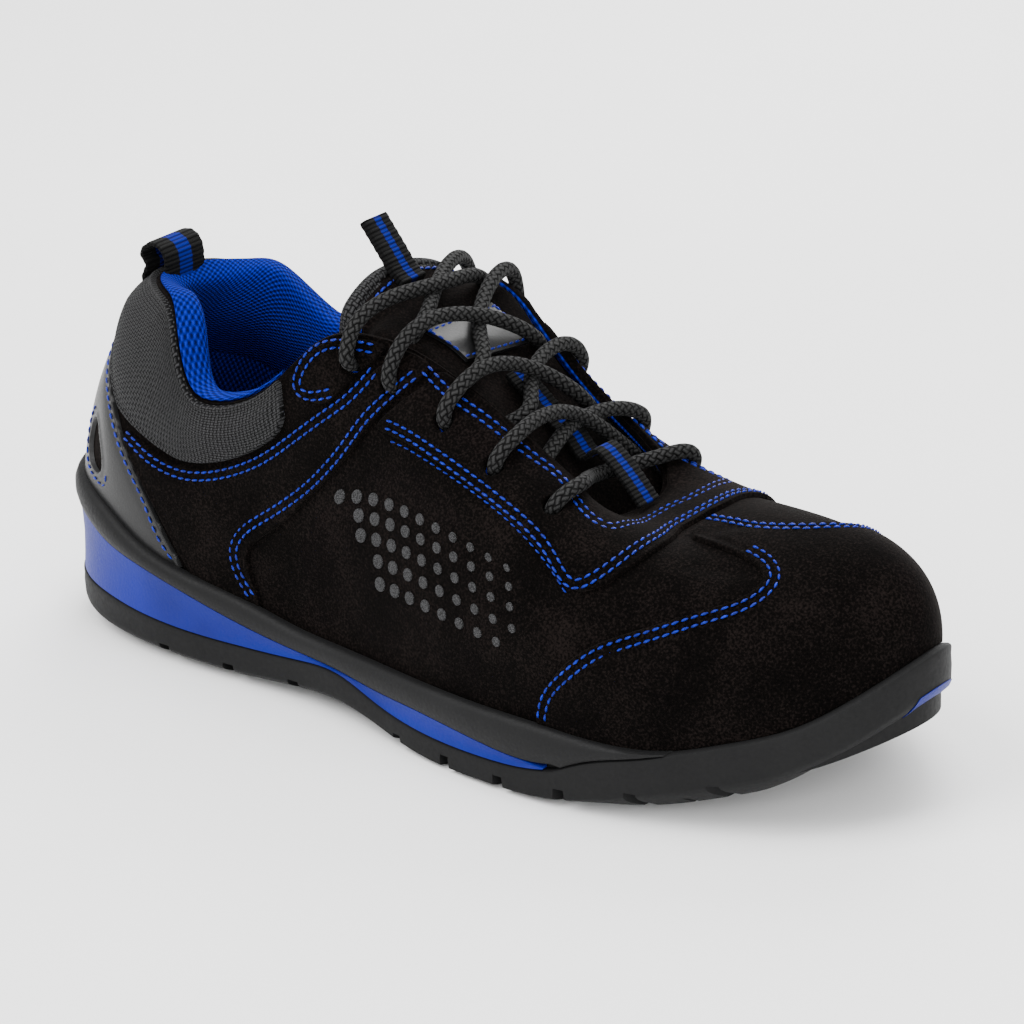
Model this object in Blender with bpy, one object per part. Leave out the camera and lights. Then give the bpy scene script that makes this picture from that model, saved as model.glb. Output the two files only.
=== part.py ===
"""Low safety sneaker for the right foot.

A two-colour cup sole carries a shaped upper with its overlays, a padded collar,
a tongue, two pull loops and a round lace. All sizes are in metres, +X runs from
the heel to the toe, +Y to the inner side of the foot, +Z up, the floor at zero.
"""
import math

import bmesh
import bpy
import numpy as np

# Named sizes of the whole shoe
LENGTH = 0.288
BALL_WIDTH = 0.108
HEEL_HEIGHT = 0.104
INSTEP_HEIGHT = 0.106

# Named thicknesses and clearances
CLEAR = 0.0003
LIP_WALL = 0.0038
BUMPER_WALL = 0.0026
UPPER_WALL = 0.0021
OVERLAY_WALL = 0.0012
COLLAR_WALL = 0.0018
LINING_PAD = 0.0062
INSOLE_WALL = 0.0040
MERGE = 0.00008
FLAT_SPOT = 0.0003  # lower than this, the tread is flat on the floor
SOLE_BEVEL = 0.0070
LUG_GAP = 0.0042
LUG_DEPTH = 0.0036
EYELET_RADIUS = 0.0024
LACE_RADIUS = 0.0024
WEBBING_WALL = 0.0013
HEEL_LOOP_WIDTH = 0.0165
TONGUE_LOOP_WIDTH = 0.0100
KEEPER_WIDTH = 0.0090

# Columns round the shoe on each side, and the rows of the upper from the sole to the opening
SIDE_COLUMNS = 27
UPPER_ROWS = (0.0, 0.11, 0.23, 0.36, 0.50, 0.63, 0.76, 0.88, 1.0)

# Plan of the sole at its widest: x as a share of LENGTH, y of BALL_WIDTH, clockwise from the toe by the outer side
OUTLINE = (
    #  x      y
    (1.000, 0.019),
    (0.972, -0.185),
    (0.910, -0.343),
    (0.785, -0.468),
    (0.656, -0.500),
    (0.528, -0.454),
    (0.413, -0.389),
    (0.288, -0.365),
    (0.135, -0.343),
    (0.031, -0.210),
    (0.000, 0.000),
    (0.031, 0.200),
    (0.135, 0.333),
    (0.288, 0.333),
    (0.455, 0.343),
    (0.622, 0.417),
    (0.747, 0.463),
    (0.868, 0.407),
    (0.958, 0.231),
)

# Heights along the sole as shares of HEEL_HEIGHT: ground face, lower edge of the wall, blue band, lip and inner bed
SOLE_HEIGHTS = (
    # x    floor  edge   low    high   lip    bed
    (0.000, 0.019, 0.082, 0.149, 0.356, 0.438, 0.260),
    (0.049, 0.000, 0.053, 0.138, 0.341, 0.423, 0.255),
    (0.094, 0.000, 0.046, 0.134, 0.303, 0.394, 0.245),
    (0.146, 0.000, 0.042, 0.123, 0.271, 0.332, 0.236),
    (0.208, 0.000, 0.035, 0.113, 0.234, 0.284, 0.221),
    (0.292, 0.003, 0.037, 0.115, 0.182, 0.248, 0.197),
    (0.361, 0.017, 0.052, 0.127, 0.157, 0.212, 0.173),
    (0.417, 0.021, 0.057, 0.134, 0.148, 0.204, 0.159),
    (0.472, 0.010, 0.037, 0.101, 0.138, 0.206, 0.149),
    (0.528, 0.000, 0.009, 0.079, 0.137, 0.209, 0.139),
    (0.625, 0.000, 0.006, 0.078, 0.120, 0.213, 0.135),
    (0.688, 0.002, 0.012, 0.093, 0.115, 0.212, 0.135),
    (0.750, 0.013, 0.044, 0.130, 0.144, 0.202, 0.144),
    (0.812, 0.038, 0.090, 0.149, 0.163, 0.206, 0.163),
    (0.875, 0.083, 0.138, 0.192, 0.212, 0.250, 0.188),
    (0.931, 0.130, 0.183, 0.221, 0.231, 0.303, 0.216),
    (0.972, 0.178, 0.231, 0.269, 0.279, 0.375, 0.245),
    (1.000, 0.216, 0.288, 0.327, 0.337, 0.438, 0.269),
)

# Ribs of the upper. at: place on the outline. edge: where the rib ends at the opening. bulge, rise: lower handle.
# run, drop: upper handle. Shares of LENGTH, BALL_WIDTH and INSTEP_HEIGHT
UPPER_RIBS = (
    # at   edge_x  edge_y  edge_z  bulge  rise   run   drop
    (0.00, 0.668, 0.009, 0.599, 0.000, 0.320, 0.52, -0.085),
    (0.70, 0.664, -0.037, 0.594, 0.000, 0.320, 0.52, -0.085),
    (1.30, 0.661, -0.074, 0.599, 0.005, 0.320, 0.52, -0.075),
    (2.00, 0.659, -0.111, 0.627, 0.008, 0.350, 0.52, -0.035),
    (2.60, 0.655, -0.148, 0.675, 0.010, 0.390, 0.50, 0.015),
    (3.20, 0.642, -0.174, 0.741, 0.010, 0.420, 0.48, 0.060),
    (3.80, 0.611, -0.193, 0.816, 0.010, 0.450, 0.45, 0.080),
    (4.40, 0.573, -0.207, 0.892, 0.010, 0.480, 0.45, 0.090),
    (5.00, 0.524, -0.222, 0.967, 0.005, 0.480, 0.42, 0.100),
    (5.40, 0.479, -0.233, 1.014, 0.000, 0.460, 0.36, 0.120),
    (5.70, 0.441, -0.256, 1.033, 0.000, 0.440, 0.28, 0.150),
    (6.00, 0.401, -0.287, 1.022, 0.000, 0.400, 0.18, 0.180),
    (6.30, 0.366, -0.302, 0.951, 0.000, 0.340, 0.10, 0.180),
    (6.65, 0.325, -0.302, 0.849, 0.002, 0.280, 0.03, 0.170),
    (7.00, 0.281, -0.296, 0.781, 0.004, 0.240, 0.00, 0.160),
    (7.30, 0.243, -0.292, 0.757, 0.006, 0.220, 0.00, 0.150),
    (7.60, 0.214, -0.278, 0.783, 0.006, 0.220, 0.00, 0.150),
    (7.85, 0.199, -0.261, 0.863, 0.006, 0.240, 0.00, 0.180),
    (8.20, 0.186, -0.234, 0.958, 0.004, 0.250, 0.05, 0.190),
    (8.70, 0.160, -0.190, 0.991, -0.015, 0.250, 0.30, 0.190),
    (9.30, 0.128, -0.120, 0.991, -0.035, 0.250, 0.48, 0.150),
    (10.00, 0.109, 0.000, 0.981, -0.035, 0.250, 0.48, 0.150),
    (10.70, 0.125, 0.120, 0.972, -0.035, 0.250, 0.48, 0.150),
    (11.30, 0.149, 0.185, 0.962, -0.015, 0.250, 0.30, 0.190),
    (11.80, 0.174, 0.231, 0.948, 0.004, 0.250, 0.05, 0.190),
    (12.15, 0.194, 0.259, 0.901, 0.006, 0.240, 0.00, 0.180),
    (12.50, 0.219, 0.278, 0.844, 0.006, 0.220, 0.00, 0.150),
    (12.80, 0.247, 0.287, 0.807, 0.006, 0.220, 0.00, 0.150),
    (13.10, 0.285, 0.292, 0.811, 0.004, 0.240, 0.00, 0.160),
    (13.40, 0.326, 0.296, 0.877, 0.002, 0.280, 0.03, 0.170),
    (13.65, 0.366, 0.301, 0.962, 0.000, 0.340, 0.10, 0.180),
    (13.85, 0.403, 0.296, 1.024, 0.000, 0.400, 0.16, 0.190),
    (14.05, 0.441, 0.273, 1.033, 0.000, 0.440, 0.22, 0.190),
    (14.30, 0.479, 0.250, 1.000, 0.000, 0.440, 0.28, 0.180),
    (14.60, 0.521, 0.231, 0.910, 0.000, 0.410, 0.32, 0.150),
    (15.00, 0.566, 0.218, 0.811, 0.000, 0.380, 0.34, 0.120),
    (15.50, 0.608, 0.204, 0.741, 0.000, 0.350, 0.36, 0.105),
    (16.00, 0.639, 0.190, 0.689, 0.000, 0.330, 0.38, 0.080),
    (16.50, 0.660, 0.162, 0.651, 0.005, 0.320, 0.42, 0.035),
    (17.00, 0.671, 0.120, 0.627, 0.008, 0.320, 0.46, -0.015),
    (17.60, 0.674, 0.083, 0.613, 0.008, 0.330, 0.50, -0.060),
    (18.30, 0.673, 0.046, 0.604, 0.005, 0.330, 0.52, -0.085),
)

# Outlines of the overlays on the upper: at round the shoe, up from the sole (0) to the opening (1)
TOE_OVERLAY = (
    # at    up
    (3.74, 0.012),
    (3.72, 0.040),
    (3.51, 0.130),
    (3.20, 0.225),
    (2.82, 0.305),
    (2.36, 0.365),
    (1.92, 0.400),
    (1.53, 0.430),
    (1.31, 0.470),
    (1.23, 0.530),
    (1.27, 0.605),
    (1.43, 0.730),
    (1.20, 0.765),
    (0.60, 0.792),
    (0.20, 0.798),
    (0.32, 0.670),
    (0.09, 0.570),
    (-0.52, 0.470),
    (-1.00, 0.420),
    (-1.50, 0.360),
    (-1.95, 0.270),
    (-2.25, 0.170),
    (-2.45, 0.080),
    (-2.50, 0.012),
)
EYESTAY_OUTER = (
    (5.60, 0.592),
    (4.70, 0.572),
    (4.00, 0.530),
    (3.58, 0.440),
    (3.42, 0.372),
    (3.15, 0.430),
    (2.70, 0.585),
    (2.05, 0.730),
    (1.20, 0.800),
    (0.40, 0.820),
    (-0.40, 0.820),
    (-1.30, 0.790),
    (-1.90, 0.720),
    (-2.40, 0.585),
    (-2.75, 0.440),
    (-2.95, 0.372),
    (-3.10, 0.440),
    (-3.50, 0.530),
    (-4.10, 0.572),
    (-5.04, 0.592),
)
EYESTAY_END = (
    (5.57, 0.630),
    (5.36, 0.735),
    (5.14, 0.880),
    (5.10, 0.985),
)
EYESTAY_TIP = (
    (5.56, 0.985),
    (6.36, 0.985),
    (6.42, 0.900),
    (6.16, 0.735),
    (6.00, 0.715),
    (5.86, 0.775),
    (5.70, 0.855),
    (5.58, 0.925),
)
QUARTER = (
    (7.42, 0.012),
    (7.53, 0.070),
    (7.73, 0.190),
    (7.93, 0.250),
    (8.18, 0.300),
    (8.27, 0.342),
    (8.13, 0.372),
    (7.88, 0.425),
    (7.62, 0.498),
    (7.35, 0.572),
    (7.07, 0.632),
    (6.77, 0.678),
    (6.44, 0.698),
    (6.18, 0.705),
    (5.98, 0.695),
    (5.82, 0.752),
    (5.66, 0.830),
    (5.53, 0.905),
    (5.50, 0.985),
    (5.16, 0.985),
    (5.20, 0.885),
    (5.42, 0.735),
    (5.62, 0.628),
    (5.86, 0.490),
    (6.38, 0.402),
    (6.86, 0.275),
    (6.95, 0.180),
    (6.90, 0.080),
    (6.80, 0.012),
)
COUNTER = (
    (7.48, 0.012),
    (7.60, 0.070),
    (7.80, 0.200),
    (8.00, 0.262),
    (8.24, 0.310),
    (8.55, 0.395),
    (9.00, 0.500),
    (9.38, 0.600),
)
COUNTER_HOLE = (
    (8.80, 0.275),
    (8.92, 0.190),
    (8.82, 0.100),
    (8.60, 0.066),
    (8.42, 0.085),
    (8.44, 0.150),
    (8.60, 0.220),
)
COLLAR_LOWER = (
    (6.50, 0.900),
    (6.47, 0.742),
    (6.78, 0.712),
    (7.08, 0.668),
    (7.37, 0.606),
    (7.64, 0.530),
    (7.90, 0.456),
    (8.15, 0.404),
    (8.40, 0.392),
    (8.62, 0.436),
    (9.05, 0.538),
    (9.42, 0.625),
)
EYELETS = (
    (5.84, 0.855),
    (5.49, 0.775),
    (4.92, 0.745),
    (4.29, 0.700),
    (3.57, 0.700),
)

# Rungs of the tongue: places on the two sides of the throat, height of the middle over the chord, thickness,
# and clearance under the flaps
TONGUE_RUNGS = (
    # out   inn    crown    thick   under
    (1.00, 18.00, 0.0000, 0.0026, 0.0042),
    (1.70, 17.35, -0.0030, 0.0026, 0.0040),
    (2.40, 16.75, -0.0060, 0.0026, 0.0028),
    (3.10, 16.10, -0.0040, 0.0028, 0.0016),
    (3.70, 15.55, -0.0015, 0.0030, 0.0010),
    (4.30, 15.10, 0.0000, 0.0034, 0.0008),
    (4.90, 14.70, 0.0014, 0.0038, 0.0008),
    (5.30, 14.40, 0.0024, 0.0042, 0.0008),
    (5.65, 14.12, 0.0040, 0.0046, 0.0008),
)
# Free end of the tongue: x, middle height, half width and side drop
TONGUE_END = (
    # x      z      half   drop    thick
    (0.1205, 0.1165, 0.0270, 0.0050, 0.0052),
    (0.1130, 0.1215, 0.0255, 0.0055, 0.0056),
    (0.1085, 0.1215, 0.0245, 0.0060, 0.0050),
)

COLOURS = {
    # name: linear colour, roughness
    "black_suede": ((0.012, 0.011, 0.011), 0.95),
    "grey_cordura": ((0.035, 0.035, 0.036), 0.85),
    "blue_mesh": ((0.020, 0.060, 0.520), 0.85),
    "black_rubber": ((0.030, 0.030, 0.031), 0.60),
    "blue_foam": ((0.022, 0.075, 0.560), 0.55),
    "black_webbing": ((0.018, 0.018, 0.018), 0.85),
    "grey_trim": ((0.055, 0.055, 0.057), 0.45),
    "black_lace": ((0.022, 0.022, 0.022), 0.85),
    "insole_cloth": ((0.020, 0.040, 0.300), 0.90),
}


def periodic_spline(knots, values, period):
    """Smooth closed curve through the values at the knots."""
    knots = np.asarray(knots, float)
    values = np.asarray(values, float)
    count = len(knots)
    step = np.diff(np.append(knots, knots[0] + period))
    matrix = np.zeros((count, count))
    right = np.zeros_like(values)
    for i in range(count):
        matrix[i, i - 1] += step[i - 1]
        matrix[i, i] += 2 * (step[i - 1] + step[i])
        matrix[i, (i + 1) % count] += step[i]
        ahead = (values[(i + 1) % count] - values[i]) / step[i]
        right[i] = 6 * (ahead - (values[i] - values[i - 1]) / step[i - 1])
    bend = np.linalg.solve(matrix, right)

    def at(place):
        place = (np.asarray(place, float) - knots[0]) % period + knots[0]
        i = np.clip(np.searchsorted(knots, place, side="right") - 1, 0, count - 1)
        return blend(values, bend, i, (i + 1) % count, step[i], (place - knots[i]) / step[i])

    return at


def open_spline(knots, values):
    """Smooth open curve through the values at the knots."""
    knots = np.asarray(knots, float)
    values = np.asarray(values, float)
    count = len(knots)
    step = np.diff(knots)
    matrix = np.eye(count)
    right = np.zeros_like(values)
    for i in range(1, count - 1):
        matrix[i, i - 1] = step[i - 1]
        matrix[i, i] = 2 * (step[i - 1] + step[i])
        matrix[i, i + 1] = step[i]
        right[i] = 6 * ((values[i + 1] - values[i]) / step[i] - (values[i] - values[i - 1]) / step[i - 1])
    bend = np.linalg.solve(matrix, right)

    def at(place):
        place = np.clip(np.asarray(place, float), knots[0], knots[-1])
        i = np.clip(np.searchsorted(knots, place, side="right") - 1, 0, count - 2)
        return blend(values, bend, i, i + 1, step[i], (place - knots[i]) / step[i])

    return at


def blend(values, bend, i, j, step, part):
    """Cubic between two knots."""
    step, part = step[..., None], part[..., None]
    rest = 1 - part
    curve = (rest**3 - rest) * bend[i] + (part**3 - part) * bend[j]
    return rest * values[i] + part * values[j] + curve * step**2 / 6


FLAT_SCALE = 10.0
ROUND = float(len(OUTLINE))
HEEL = 10.0
plan = periodic_spline(np.arange(len(OUTLINE)), np.array(OUTLINE) * (LENGTH, BALL_WIDTH), ROUND)
heights = open_spline([row[0] for row in SOLE_HEIGHTS], [row[1:] for row in SOLE_HEIGHTS])
ribs = periodic_spline([row[0] for row in UPPER_RIBS], [row[1:] for row in UPPER_RIBS], ROUND)
HEIGHT_NAMES = ("floor", "edge", "low", "high", "lip", "bed")

# Where each column of the meshes stands: the same number of columns on each side
COLUMNS = np.concatenate(
    [
        np.linspace(0.0, HEEL, SIDE_COLUMNS + 1)[:-1],
        np.linspace(HEEL, ROUND, SIDE_COLUMNS + 1)[:-1],
    ]
)
COUNT = len(COLUMNS)
dense = plan(np.linspace(0.0, ROUND, 2000))
CENTRE = np.array([(dense[:, 0].min() + dense[:, 0].max()) / 2, (dense[:, 1].min() + dense[:, 1].max()) / 2, 0.0])


def outward(at):
    """Unit vector out of the sole's plan."""
    along = plan(np.asarray(at, float) + 1e-3) - plan(np.asarray(at, float) - 1e-3)
    out = np.stack([-along[..., 1], along[..., 0]], -1)
    return out / np.linalg.norm(out, axis=-1, keepdims=True)


def plan_inset(at, inset):
    """Points of the plan moved in by the inset."""
    inset = np.broadcast_to(np.asarray(inset, float), np.shape(at))
    return plan(at) - outward(at) * inset[..., None]


def sole_height(x, name):
    """Height of one of the sole's named lines at a distance from the heel."""
    height = heights(np.asarray(x) / LENGTH)[..., HEIGHT_NAMES.index(name)] * HEEL_HEIGHT
    return np.where(height < FLAT_SPOT, 0.0, height) if name == "floor" else height


def ring(at, inset, z):
    """Row of points round the sole."""
    return np.concatenate([plan_inset(at, inset), np.broadcast_to(z, np.shape(at))[..., None]], -1)


def upper_face(at, up):
    """Outer face of the upper: round the shoe, and up from the sole (0) to the opening (1)."""
    at = np.asarray(at, float)
    up = np.asarray(up, float)[..., None]
    row = ribs(at)
    foot = ring(at, LIP_WALL + CLEAR, sole_height(plan(at)[..., 0], "lip"))
    edge = row[..., 0:3] * (LENGTH, BALL_WIDTH, INSTEP_HEIGHT)
    low = foot.copy()
    low[..., :2] += outward(at) * row[..., 3:4] * BALL_WIDTH
    low[..., 2] += row[..., 4] * INSTEP_HEIGHT
    high = edge.copy()
    high[..., :2] += (foot - edge)[..., :2] * row[..., 5:6]
    high[..., 2] -= row[..., 6] * INSTEP_HEIGHT
    rest = 1 - up
    return rest**3 * foot + 3 * rest**2 * up * low + 3 * rest * up**2 * high + up**3 * edge


def upper_normal(at, up):
    """Unit outward normal of the upper's outer face."""
    at = np.asarray(at, float)
    up = np.asarray(up, float)
    across = upper_face(at + 2e-3, up) - upper_face(at - 2e-3, up)
    rise = upper_face(at, np.minimum(up + 2e-3, 1.0)) - upper_face(at, np.maximum(up - 2e-3, 0.0))
    normal = np.cross(rise, across)
    return normal / np.linalg.norm(normal, axis=-1, keepdims=True)


def skin(at, up, offset):
    """Point of the upper moved along its normal; above the opening it carries straight on."""
    inside = np.clip(up, 0.0, 1.0)
    point = upper_face(at, inside) + upper_normal(at, inside) * np.asarray(offset, float)[..., None]
    tip = upper_face(at, np.full(np.shape(at), 1.0)) - upper_face(at, np.full(np.shape(at), 0.98))
    over = np.maximum(np.asarray(up, float) - 1.0, 0.0)[..., None] / 0.02
    return point + tip * over


def skin_grid(offset):
    """Points of the offset skin on the shared columns and rows."""
    at, up = np.meshgrid(COLUMNS, UPPER_ROWS, indexing="ij")
    return skin(at, up, np.full(at.shape, offset))


def make(name, points, faces, colour):
    """Closed mesh object from points and faces, its faces turned outwards."""
    mesh = bpy.data.meshes.new(name)
    shape = bmesh.new()
    corners = [shape.verts.new(point) for point in (np.asarray(points, float) - CENTRE)]
    for face in faces:
        face = [corners[i] for k, i in enumerate(face) if i != face[k - 1]]
        if len(face) > 2:
            shape.faces.new(face)
    bmesh.ops.remove_doubles(shape, verts=shape.verts[:], dist=2e-6)
    bmesh.ops.recalc_face_normals(shape, faces=shape.faces[:])
    shade(shape)
    shape.to_mesh(mesh)
    shape.free()
    part = bpy.data.objects.new(name, mesh)
    bpy.context.collection.objects.link(part)
    if colour:
        mesh.materials.append(material(colour))
    return part


def shade(shape):
    """Smooth faces with hard edges where they turn sharply."""
    for face in shape.faces:
        face.smooth = True
    for edge in shape.edges:
        edge.smooth = len(edge.link_faces) == 2 and edge.calc_face_angle(0.0) < math.radians(35)


def material(name):
    """The material of this name, made once."""
    if name not in bpy.data.materials:
        made = bpy.data.materials.new(name)
        made.use_nodes = True
        shader = made.node_tree.nodes["Principled BSDF"]
        shader.inputs["Base Color"].default_value = (*COLOURS[name][0], 1.0)
        shader.inputs["Roughness"].default_value = COLOURS[name][1]
    return bpy.data.materials[name]


def combine(part, other, operation):
    """Boolean of a part with another mesh, which is then removed."""
    step = part.modifiers.new("step", "BOOLEAN")
    step.operation = operation
    step.solver = "EXACT"
    step.object = other
    bpy.context.view_layer.objects.active = part
    bpy.ops.object.modifier_apply(modifier=step.name)
    bpy.data.objects.remove(other)
    shape = bmesh.new()
    shape.from_mesh(part.data)
    bmesh.ops.remove_doubles(shape, verts=shape.verts[:], dist=MERGE)
    bmesh.ops.triangulate(shape, faces=shape.faces[:])
    bmesh.ops.dissolve_degenerate(shape, edges=shape.edges[:], dist=MERGE)
    shade(shape)
    shape.to_mesh(part.data)
    shape.free()


def strips(rows, columns, wrap_rows=False, wrap_columns=True):
    """Faces of a grid whose points are numbered row after row."""
    faces = []
    for row in range(rows if wrap_rows else rows - 1):
        for column in range(columns if wrap_columns else columns - 1):
            after = (column + 1) % columns
            above = (row + 1) % rows
            faces.append((row * columns + column, row * columns + after, above * columns + after, above * columns + column))
    return faces


def ladder(start, count):
    """Faces across a ring, from one side to the other."""
    half = count // 2
    faces = [(start, start + 1, start + count - 1)]
    for i in range(1, half - 1):
        faces.append((start + i, start + i + 1, start + count - i - 1, start + count - i))
    faces.append((start + half - 1, start + half, start + half + 1))
    return faces


def loft(name, rings, colour):
    """Solid from rings of the same number of points, closed by ladders at both ends."""
    points = np.concatenate(rings)
    count = len(rings[0])
    faces = strips(len(rings), count)
    faces += ladder(0, count)
    faces += ladder((len(rings) - 1) * count, count)
    return make(name, points, faces, colour)


def sweep(name, section, colour):
    """Solid from a row of closed sections, each an array of points."""
    rows, columns = section.shape[:2]
    faces = strips(rows, columns)
    faces += [tuple(range(columns)), tuple((rows - 1) * columns + i for i in range(columns))]
    return make(name, section.reshape(-1, 3), faces, colour)


def across(rows):
    """The same outline on the other side of the shoe."""
    return [(ROUND - 0.9 * at, up) for at, up in rows]


def column_place(index):
    """Place of a column that may be numbered past one round."""
    return COLUMNS[index % COUNT] + ROUND * (index // COUNT)


def patch(name, outline, inner, outer, colour, holes=()):
    """Overlay of even thickness, cut out of the skin along an outline, with holes.

    The skin is laid flat as a slab in its own two measures, cut there, and then put back on the shoe.
    """
    places = [p[0] for p in outline]
    first = next(i for i in range(-2 * COUNT, 2 * COUNT) if column_place(i + 1) > min(places))
    last = next(i for i in range(-2 * COUNT, 3 * COUNT) if column_place(i) >= max(places))
    slab = flat_slab([column_place(i) for i in range(first, last + 1)])
    combine(slab, prism(outline), "INTERSECT")
    for hole in holes:
        combine(slab, prism(hole), "DIFFERENCE")
    low_grid, high_grid = skin_grid(inner), skin_grid(outer)
    spots = [(vert.co.x, vert.co.y / FLAT_SCALE, vert.co.z) for vert in slab.data.vertices]
    points = [on_grid(spot, high_grid if spot[2] > 0.5 else low_grid) for spot in spots]
    faces = [tuple(face.vertices) for face in slab.data.polygons]
    bpy.data.objects.remove(slab)
    return make(name, points, faces, colour)


def flat_slab(places):
    """The skin between some columns laid flat, one unit thick."""
    rows, columns = len(UPPER_ROWS), len(places)
    points = [(at, up * FLAT_SCALE, z) for z in (0.0, 1.0) for up in UPPER_ROWS for at in places]
    layer = rows * columns
    faces = []
    for row in range(rows - 1):
        for column in range(columns - 1):
            a = row * columns + column
            c = a + columns + 1
            faces += [(a, a + 1, c), (a, c, a + columns)]
    faces += [tuple(i + layer for i in face) for face in faces]
    rim = list(range(columns)) + [row * columns + columns - 1 for row in range(1, rows)]
    rim += [(rows - 1) * columns + column for column in range(columns - 2, -1, -1)]
    rim += [row * columns for row in range(rows - 2, 0, -1)]
    faces += [(p, q, q + layer, p + layer) for p, q in zip(rim, rim[1:] + rim[:1])]
    return make("slab", np.array(points) + CENTRE, faces, None)


def prism(outline):
    """Upright cutter along an outline on the flat slab."""
    section = [[(at, up * FLAT_SCALE, z) for at, up in outline] for z in (-1.0, 2.0)]
    return sweep("cutter", np.array(section) + CENTRE, None)


def on_grid(spot, grid):
    """Point of the faceted skin at a spot given in its own two measures."""
    at = spot[0] % ROUND
    i = min(max(int(np.searchsorted(COLUMNS, at, side="right")) - 1, 0), COUNT - 1)
    j = min(max(int(np.searchsorted(UPPER_ROWS, spot[1], side="right")) - 1, 0), len(UPPER_ROWS) - 2)
    a = (at - column_place(i)) / (column_place(i + 1) - column_place(i))
    b = (spot[1] - UPPER_ROWS[j]) / (UPPER_ROWS[j + 1] - UPPER_ROWS[j])
    here, next_column = grid[i], grid[(i + 1) % COUNT]
    if a >= b:
        return here[j] + a * (next_column[j] - here[j]) + b * (next_column[j + 1] - next_column[j])
    return here[j] + b * (here[j + 1] - here[j]) + a * (next_column[j + 1] - here[j + 1])


def tube(name, line, radius, colour, sides=6, shift=0.0):
    """Round cord along a line of points."""
    line = np.asarray(line, float)
    along = np.gradient(line, axis=0)
    along /= np.linalg.norm(along, axis=1, keepdims=True)
    flat = np.cross(along, (0.0, 0.0, 1.0))
    flat /= np.linalg.norm(flat, axis=1, keepdims=True)
    lift = np.cross(flat, along)
    turn = (np.arange(sides) + shift) * 2 * math.pi / sides
    section = line[:, None] + radius * (flat[:, None] * np.cos(turn)[None, :, None] + lift[:, None] * np.sin(turn)[None, :, None])
    return sweep(name, section, colour)


def band(name, line, width, wall, colour):
    """Flat webbing along a line in the plane of the shoe's middle, its width across the shoe."""
    line = np.asarray(line, float)
    along = np.gradient(line, axis=0)
    along /= np.linalg.norm(along, axis=1, keepdims=True)
    thick = np.stack([along[:, 2], np.zeros(len(line)), -along[:, 0]], 1) * wall / 2
    side = np.array([0.0, width / 2, 0.0])
    section = np.stack([line - thick - side, line + thick - side, line + thick + side, line - thick + side], 1)
    return sweep(name, section, colour)


def through_curve(points, count):
    """Evenly numbered points of a smooth curve through a few."""
    points = np.asarray(points, float)
    length = np.concatenate([[0.0], np.cumsum(np.linalg.norm(np.diff(points, axis=0), axis=1))])
    return open_spline(length, points)(np.linspace(0.0, length[-1], count))


# Sole

x_ring = plan(COLUMNS)[:, 0]
line = {name: sole_height(x_ring, name) for name in HEIGHT_NAMES}
RIM_START = 0.708 * LENGTH
RIM_END = 0.825 * LENGTH
inner_step = BUMPER_WALL + CLEAR


def mix(x, start, end):
    """Straight share from 0 to 1 between two distances from the heel."""
    return np.clip((x - start) / (end - start), 0.0, 1.0)


rise = mix(x_ring, RIM_START, RIM_END)
bumper_top = line["low"] * (1 - rise) + (line["lip"] - 0.0002) * rise
base_top = np.minimum((line["floor"] + line["bed"]) / 2, line["low"] - 0.0012)
step_out = np.where(x_ring < RIM_START, line["high"], bumper_top + CLEAR)
step_out = np.where(rise >= 1.0, line["lip"] - 0.0030, step_out)
rim_inset = np.where(rise >= 1.0, inner_step, 0.0)
step_top = step_out + np.where(rise >= 1.0, 0.0010, 0.0)
step_out = np.minimum(step_out, line["lip"] - 0.0012)
step_top = np.minimum(step_top, line["lip"] - 0.0006)


def build_outsole():
    """Ground layer with its lugs and the bumper that climbs round the toe."""
    rings = [
        ring(COLUMNS, SOLE_BEVEL, line["floor"]),
        ring(COLUMNS, 0.0012, np.maximum(line["edge"] - 0.0006, line["floor"] + 0.0002)),
        ring(COLUMNS, 0.0, line["edge"] + 0.0012),
        ring(COLUMNS, 0.0, bumper_top - 0.0006),
        ring(COLUMNS, 0.0006, bumper_top),
        ring(COLUMNS, BUMPER_WALL, bumper_top),
        ring(COLUMNS, BUMPER_WALL, base_top),
    ]
    sole = loft("outsole", rings, "black_rubber")
    combine(sole, lug_cutters(), "DIFFERENCE")
    combine(sole, toe_sector("toe_cut", -0.004, 0.0017, 0.0), "DIFFERENCE")
    return sole


def lug_cutters():
    """One mesh with the channels between the lugs."""
    shares = (0.075, 0.16, 0.245, 0.33, 0.47, 0.54, 0.61, 0.68, 0.75, 0.82, 0.89)
    points, faces = [], []
    for share in shares:
        x = share * LENGTH
        top = float(sole_height(x, "floor")) + LUG_DEPTH
        lean = 0.012 if share < 0.4 else -0.012
        start = len(points)
        for y, shift in ((-0.09, lean), (0.001, 0.0), (0.09, lean)):
            for dx, z in ((-1, -0.01), (1, -0.01), (0.8, top), (-0.8, top)):
                points.append((x + shift + dx * LUG_GAP / 2, y, z))
        for row in range(2):
            for k in range(4):
                a = start + row * 4 + k
                b = start + row * 4 + (k + 1) % 4
                faces.append((a, b, b + 4, a + 4))
        faces.append(tuple(start + k for k in range(4)))
        faces.append(tuple(start + 8 + k for k in range(4)))
    return make("lugs", points, faces, None)


def toe_sector(name, outer, inner, clear, colour=None):
    """Wedge round the toe's lower edge: the blue insert, or the pocket for it."""
    at = np.linspace(-1.35 + clear * 30, 0.78 - clear * 30, 13)
    lower = sole_height(plan(at)[:, 0], "edge")
    half = np.clip(np.minimum(at + 1.6, 1.05 - at) / 0.5, 0.0, 1.0)
    top = lower + 0.0020 + 0.0075 * half - clear
    bottom = lower - (0.006 if clear == 0.0 else 0.0)
    inset = inner - clear
    section = np.stack([ring(at, outer, bottom), ring(at, outer, top), ring(at, inset, top), ring(at, inset, bottom)], 1)
    return sweep(name, section, colour)


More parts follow.
